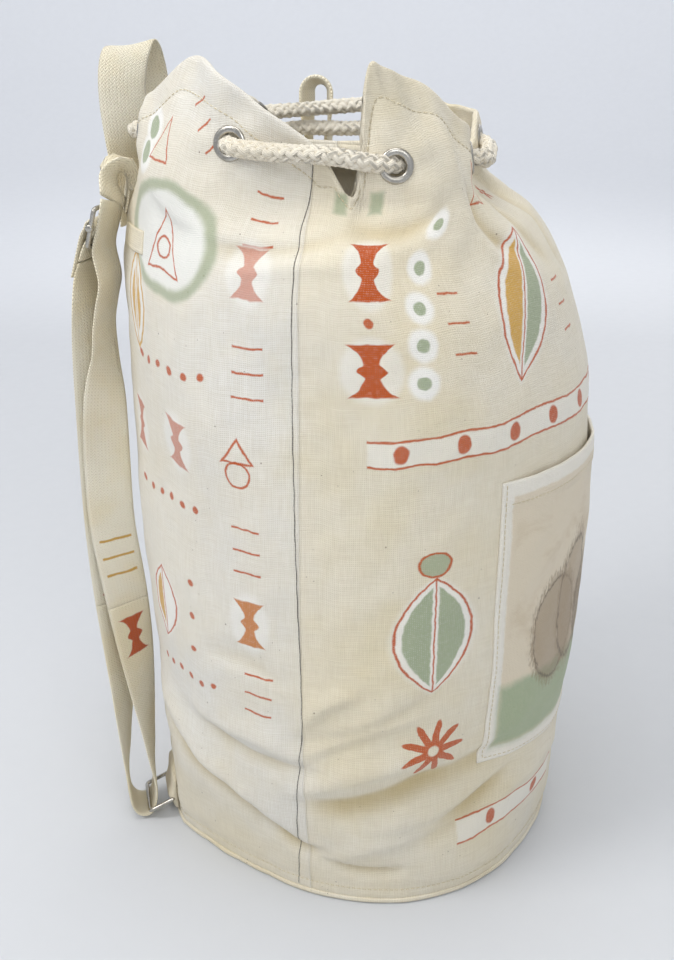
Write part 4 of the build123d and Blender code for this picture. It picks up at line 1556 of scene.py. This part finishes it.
def rope_cloth():
    """Cotton yarns laid along each strand, a little fuzzy."""
    n = Nodes("rope_cotton")
    uv = n.uv()
    x, y, _ = n.split(uv)
    yarn = n.sine(x * (2 * pi / 0.0011) + y * 900.0)
    fuzz = n.noise(uv, 1600, 4, 0.7)
    n.base = n.mix(n.remap(n.noise(n.place(), 18), 0.35, 0.7), colour("FFF8E8"), colour("FAF0DA"))
    n.coat(n.remap(yarn, 0.2, -1.0, 0.0, 0.16), colour("D3C097"), "MULTIPLY")
    n.coat(n.remap(fuzz, 0.45, 0.7, 0.0, 0.25), colour("FBF6E8"))
    normal = n.bump(yarn * 0.5 + fuzz, 0.0005, 0.8)
    return n.finish(n.remap(fuzz, 0.3, 0.7, 0.8, 0.96), normal, sheen=0.3)


def metal(name):
    n = Nodes(name)
    place = n.place()
    scratch = n.noise(n.vector("MULTIPLY", place, (1.0, 1.0, 6.0)), 500, 4, 0.7)
    dull = n.noise(place, 90, 4, 0.6)
    n.base = n.mix(n.remap(dull, 0.4, 0.7, 0.0, 0.5), colour("BDB9B0"), colour("857F73"))
    rough = n.remap(dull, 0.3, 0.75, 0.14, 0.34) + scratch * 0.1
    return n.finish(rough, n.bump(scratch, 0.0002, 0.15), metallic=1.0, specular=0.5)


def paint_strap(p):
    length = line_length(strap_line) * MM
    front_end = line_length(strap_line[:cut_front]) * MM
    middle = WEB_WIDTH / 2 * MM
    p.dashes((middle, front_end - 0.035), 22, 3, 13, paint=OCHRE, thick=0.9)
    p.hourglass((middle, front_end + 0.028), 20, 30, halo=False)
    p.dashes((middle, length - 0.22), 18, 3, 16)


canvas_front = cloth("canvas_front_cloth", 0.62, paint_front)
canvas_back = cloth("canvas_back_cloth", 0.25, paint_back)
canvas_plain = cloth("canvas_plain_cloth", 0.6)
pocket_material = cloth("pocket_cloth", 0.45, paint_pocket)
webbing = webbing_cloth("webbing_cloth", paint_strap)
webbing_plain = webbing_cloth("webbing_plain_cloth")
cream_thread = thread_cloth("cream_thread", "F0E7CF", "C9B88D")
dark_thread = thread_cloth("dark_thread", "77736B", "45423D")
cotton = rope_cloth()
nickel = metal("nickel")

# ================================================================ pieces: body, slot, material, CAD nodes
PIECES = [
    (front, "bag", "canvas", canvas_front, ("front_panel", "rim_hem_front", "side_seam_near")),
    (back, "bag", "canvas", canvas_back, ("back_panel", "rim_hem_back", "side_seam_far")),
    (binding, "bag", "canvas", canvas_plain, ("base_binding",)),
    (base, "bag", "canvas", canvas_plain, ("base_disc",)),
    (pocket, "bag", "pocket_canvas", pocket_material, ("front_pocket", "pocket_hem")),
    (tab, "bag", "canvas", canvas_plain, ("strap_tab",)),
    (handle_patch, "bag", "canvas", canvas_plain, ("handle_patch",)),
    (strap_patch, "bag", "canvas", canvas_plain, ("strap_anchor_patch",)),
    (loop, "loop", "webbing", webbing_plain, ("hanging_loop",)),
    (top_run, "bag", "webbing", webbing, ("strap_top_run",)),
    (front_run, "bag", "webbing", webbing, ("strap_front_run",)),
    (lower_bend, None, "webbing", webbing, ("strap_lower_bend",)),
    (back_run, "bag", "webbing", webbing, ("strap_back_run",)),
    (bar_fold, "slide", "webbing", webbing_plain, ("strap_bar_fold",)),
    (handle, "handle", "webbing", webbing_plain, ("carry_handle",)),
    (slide, "slide", "nickel", nickel, ("strap_slide",)),
    (ring, "ring", "nickel", nickel, ("strap_ring",)),
    (rope, "bag", "rope", cotton, ("drawstring",)),
    (knots[0], "bag", "rope", cotton, ("drawstring_knot_1",)),
    (knots[1], "bag", "rope", cotton, ("drawstring_knot_2",)),
    (seams, "bag", "canvas", dark_thread, ()),
    (hems, "bag", "canvas", cream_thread, ()),
    (tab_seam, "bag", "canvas", cream_thread, ()),
    (pocket_seams, "bag", "pocket_canvas", cream_thread, ()),
]
for number, grommet in enumerate(grommets, start=1):
    washers = ("eyelet_washers",) if number == 1 else ()
    PIECES.append((grommet, "bag", "nickel", nickel, (f"eyelet_{number}", *washers)))
for piece, body, slot, material, nodes in PIECES:
    piece.data.materials.append(material)
    if body:
        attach(piece, body)
    if nodes:
        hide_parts(*nodes)
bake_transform(lower_bend)
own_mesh(back_run)


# ================================================================ stage and lights
def floor_paper():
    n = Nodes("stage_paper")
    place = n.place()
    x, y, _ = n.split(place)
    grain = n.noise(place, 60, 4)
    # Painted shade and painted light: the paper is darker near the middle of the stage and lighter out
    # towards the backdrop, for how the studio light falls off.
    far = n.remap(n.math("SQRT", x ** 2.0 + y ** 2.0), 0.25, 2.4)
    n.base = n.mix(far, colour("D4D6D9"), colour("F0F2F6"))
    n.coat(n.remap(grain, 0.3, 0.7, 0.0, 0.04), colour("C8CAD0"))
    return n.finish(n.remap(grain, 0.3, 0.7, 0.55, 0.65), n.bump(grain, 0.0005, 0.1))


def stage_floor():
    """Round floor that curves up into a backdrop; the outline is (radius, height) in metres."""
    outline = [(0, 0), (0.6, 0), (1.2, 0), (2.2, 0), (2.9, 0.05), (3.4, 0.25), (3.7, 0.7), (3.8, 1.6),
               (3.8, 3.4)]
    profile = monotone(np.arange(9), np.array(outline), np.linspace(0.02, 8, 60))
    spokes = 96
    a = 2 * pi * np.arange(spokes) / spokes
    verts = np.concatenate([np.stack([radius * np.cos(a), radius * np.sin(a), height + 0 * a], -1)
                            for radius, height in profile])
    faces = grid_faces(len(profile), spokes, wrap_columns=True).tolist() + [list(range(spokes))[::-1]]
    floor = new_object("stage_floor", verts, faces, np.zeros((len(verts), 2)))
    floor.data.materials.append(floor_paper())


def area_light(name, place, aim, size, power, tint=(1, 1, 1)):
    data = bpy.data.lights.new(name, "AREA")
    data.shape = "DISK"
    data.size = size
    data.energy = power
    data.color = tint
    light = in_scene(name, data)
    light.location = place
    light.rotation_euler = (Vector(aim) - Vector(place)).to_track_quat("-Z", "Y").to_euler()


stage_floor()
area_light("key", (-1.1, 1.15, 1.9), (0, 0, 0.38), 0.9, 17)
area_light("backdrop", (1.3, 0.35, 1.5), (3.6, 1.0, 1.3), 1.4, 12)
area_light("fill", (-1.6, -0.8, 1.5), (0, 0, 0.35), 1.2, 9, (0.98, 0.99, 1.0))
area_light("top", (-0.2, 0.1, 2.4), (0, 0, 0.3), 1.6, 17)
area_light("back", (1.6, -0.3, 1.4), (0, 0, 0.2), 1.6, 5, (1.0, 0.98, 0.95))
world = bpy.data.worlds.new("studio")
world.use_nodes = True
background = world.node_tree.nodes["Background"].inputs
background["Color"].default_value = (0.96, 0.975, 1.0, 1)
background["Strength"].default_value = 0.50
bpy.context.scene.world = world
bpy.context.scene.view_settings.view_transform = "Standard"
